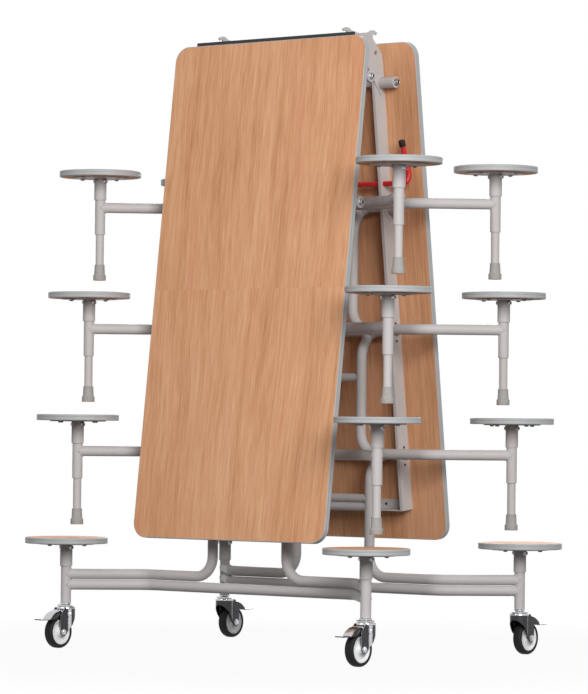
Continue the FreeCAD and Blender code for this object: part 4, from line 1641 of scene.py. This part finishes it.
@dataclass(frozen=True)
class Studio:
    """Floor, lamps, surroundings and camera."""

    camera_place: tuple[float, float, float] = (7.13286, -8.71251, 0.71491)
    azimuth: float = math.radians(39.29623)
    pitch: float = math.radians(1.09137)
    roll: float = math.radians(0.50627)
    focal_pixels: float = 3679.9
    image_height: int = 694
    sky: float = 0.26
    lamps: tuple[Lamp, ...] = (Lamp("key", (4.9, -3.6, 2.9), 2.8, 345.0),
                               Lamp("front", (-0.6, -5.4, 3.0), 2.4, 70.0),
                               Lamp("back", (-3.2, 4.9, 3.2), 3.0, 180.0))
    floor_half: float = 30.0
    fade_start: float = 0.9
    fade_end: float = 2.2
    near_white: float = 0.955

    def build(self) -> None:
        """Set the whole studio up."""
        self._camera()
        self._world()
        self._floor()
        for lamp in self.lamps:
            lamp.build()
        bpy.context.scene.view_settings.view_transform = "Standard"

    def _camera(self) -> None:
        """Camera at its place, rolled about its own axis."""
        data = bpy.data.cameras.new("camera")
        data.sensor_width = 36.0
        data.lens = self.focal_pixels * data.sensor_width / self.image_height
        data.clip_end = 100.0
        made = loose_object("camera", data)
        ahead = Vector((-math.sin(self.azimuth) * math.cos(self.pitch),
                        math.cos(self.azimuth) * math.cos(self.pitch), math.sin(self.pitch)))
        level = Vector((math.cos(self.azimuth), math.sin(self.azimuth), 0.0))
        upright = level.cross(ahead)
        right = level * math.cos(self.roll) + upright * math.sin(self.roll)
        up = upright * math.cos(self.roll) - level * math.sin(self.roll)
        turn = Matrix((right, up, -ahead)).transposed().to_4x4()
        made.matrix_world = Matrix.Translation(self.camera_place) @ turn
        bpy.context.scene.camera = made

    @staticmethod
    def _seen(tree: Tree) -> Term:
        """1 for rays that see the background itself or its mirror image.

        Args:
            tree: The tree to add it to.

        Returns:
            The mask.
        """
        path = tree.node("ShaderNodeLightPath").outputs
        camera, glossy, through = (
            Term(tree, path[f"Is {kind} Ray"]) for kind in ("Camera", "Glossy", "Transmission"))
        return camera + glossy + through

    def _world(self) -> None:
        """Even sky light, with a white background."""
        world = bpy.data.worlds.new("surroundings")
        world.use_nodes = True
        bpy.context.scene.world = world
        tree = Tree(world.node_tree)
        light, white = (tree.node("ShaderNodeBackground", {0: WHITE, 1: strength})
                        for strength in (self.sky, 1.0))
        both = tree.node("ShaderNodeMixShader", {0: self._seen(tree), 1: light, 2: white})
        tree.node("ShaderNodeOutputWorld", {0: both})

    def _floor(self) -> None:
        """Pale floor that keeps the table's shadow and fades to white."""
        ends = (-self.floor_half, self.floor_half)
        form = Form().skin([[Vector((x, y, 0.0)) for x in ends] for y in ends], False)
        made = loose_object("floor", form.done("floor", solid=False))
        shader = Shader("pale_floor")
        far = shader.node("ShaderNodeVectorMath", {0: shader.place}, operation="LENGTH")
        fade = shader.node("ShaderNodeMapRange", {
            0: far.outputs["Value"], 1: self.fade_start, 2: self.fade_end, 3: self.near_white,
            4: 1.0}, interpolation_type="SMOOTHSTEP")
        share = Term(shader, fade.outputs[0]) * self._seen(shader)
        tone = shader.blend(shader.noise(6.0, 3.0), dimmed(WHITE, 0.13), dimmed(WHITE, 0.16))
        matt = shader.node("ShaderNodeBsdfDiffuse", {0: tone})
        white = shader.node("ShaderNodeEmission", {0: WHITE, 1: 1.0})
        both = shader.node("ShaderNodeMixShader", {0: share, 1: matt, 2: white})
        shader.node("ShaderNodeOutputMaterial", {0: both})
        made.data.materials.append(shader.material)


def make_finishes() -> dict[Slot, bpy.types.Material]:
    """Material of each slot, by the record's names.

    Returns:
        The materials.
    """
    tone = sheet_colour
    makers = {
        Slot.POWDER: Coating("light_grey_powder", tone(192, 188, 187), tone(160, 156, 154), 0.45),
        Slot.LAMINATE: Laminate("seat_beech", (0.0, math.pi / 2, 0.0), 0.31),
        Slot.MOULDING: Moulded("grey_vinyl", tone(172, 174, 175), tone(156, 159, 161), 0.46, 500.0,
                               0.00005, 0.70),
        Slot.FOOT: Moulded("grey_foot_rubber", tone(164, 163, 160), tone(140, 138, 135), 0.78, 420.0,
                           0.0003, 0.58),
        Slot.ZINC: Plated("zinc_plate", tone(186, 186, 188), 0.30),
        Slot.DARK: Coating("dark_paint", tone(58, 57, 57), tone(96, 94, 92), 0.48),
        Slot.RED: Coating("red_lever_paint", tone(205, 36, 42), tone(150, 24, 30), 0.34, coat=0.5,
                          wear=0.74),
        # Black rubber of the lever cap, also used for the discs of painted shade in bolt sockets and
        # rail holes.
        Slot.GRIP: Moulded("black_cap_rubber", tone(38, 34, 31), tone(60, 56, 52), 0.62, 600.0),
        Slot.CHROME: Plated("bright_chrome", tone(208, 209, 212), 0.10),
        Slot.NYLON: Moulded("near_white_nylon", tone(238, 239, 240), tone(224, 225, 226), 0.38, 420.0,
                            0.00003, 0.70),
        Slot.TYRE: Moulded("black_tyre_rubber", tone(20, 20, 21), tone(36, 36, 37), 0.66, 500.0),
    }
    return {slot: maker.build() for slot, maker in makers.items()}


def dress_nodes(finishes: dict[Slot, bpy.types.Material], layout: Layout) -> None:
    """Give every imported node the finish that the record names, and each board its grain.

    Args:
        finishes: Material of each slot.
        layout: The table's layout.
    """
    for part in frame["record"]["subparts"]:
        node = frame["nodes"][part["node"]]
        node.data.materials.clear()
        node.data.materials.append(finishes[Slot(part["material_slot"])])
    tilt = math.pi / 2 - layout.opening
    middle = layout.fold @ Vector((0.0, -TopEdge.length / 2, 0.0))
    seam = middle.y * math.sin(tilt) + middle.z * math.cos(tilt)
    for half, print_shift in ((Half.FRONT, 0.17), (Half.REAR, -0.53)):
        turn = (half.lean * tilt, 0.0, 0.0)
        board = Laminate(f"{half.value}_board_beech", turn, print_shift, seam)
        frame["nodes"][f"{half.value}_top_board"].data.materials[0] = board.build()


def main() -> None:
    """Build the whole scene."""
    logging.basicConfig(level=logging.INFO, format="%(name)s: %(message)s")
    finishes = make_finishes()
    layout = Layout()
    dress_nodes(finishes, layout)
    # Darker copy of the chrome, painted on the castors' forks and pedals as shade and dark reflection.
    shade_chrome = Plated("fork_side_plating", sheet_colour(70, 70, 72), 0.18).build()
    models = FixingModels().build()
    shop = Workshop(layout, finishes, WeldBead(), Fixings(), SweptMoulding())
    for half in Half:
        TopEdge(half).build(shop)
        RailFittings(half).build(shop)
        for row in range(layout.rows):
            StoolRow(half, row).build(shop)
        for side in SIDES:
            Castor(half, side).build(shop, shade_chrome)
    LeverCap().build(shop)
    for model in models:
        bpy.data.objects.remove(model)
    Studio().build()


if __name__ == "__main__":
    main()
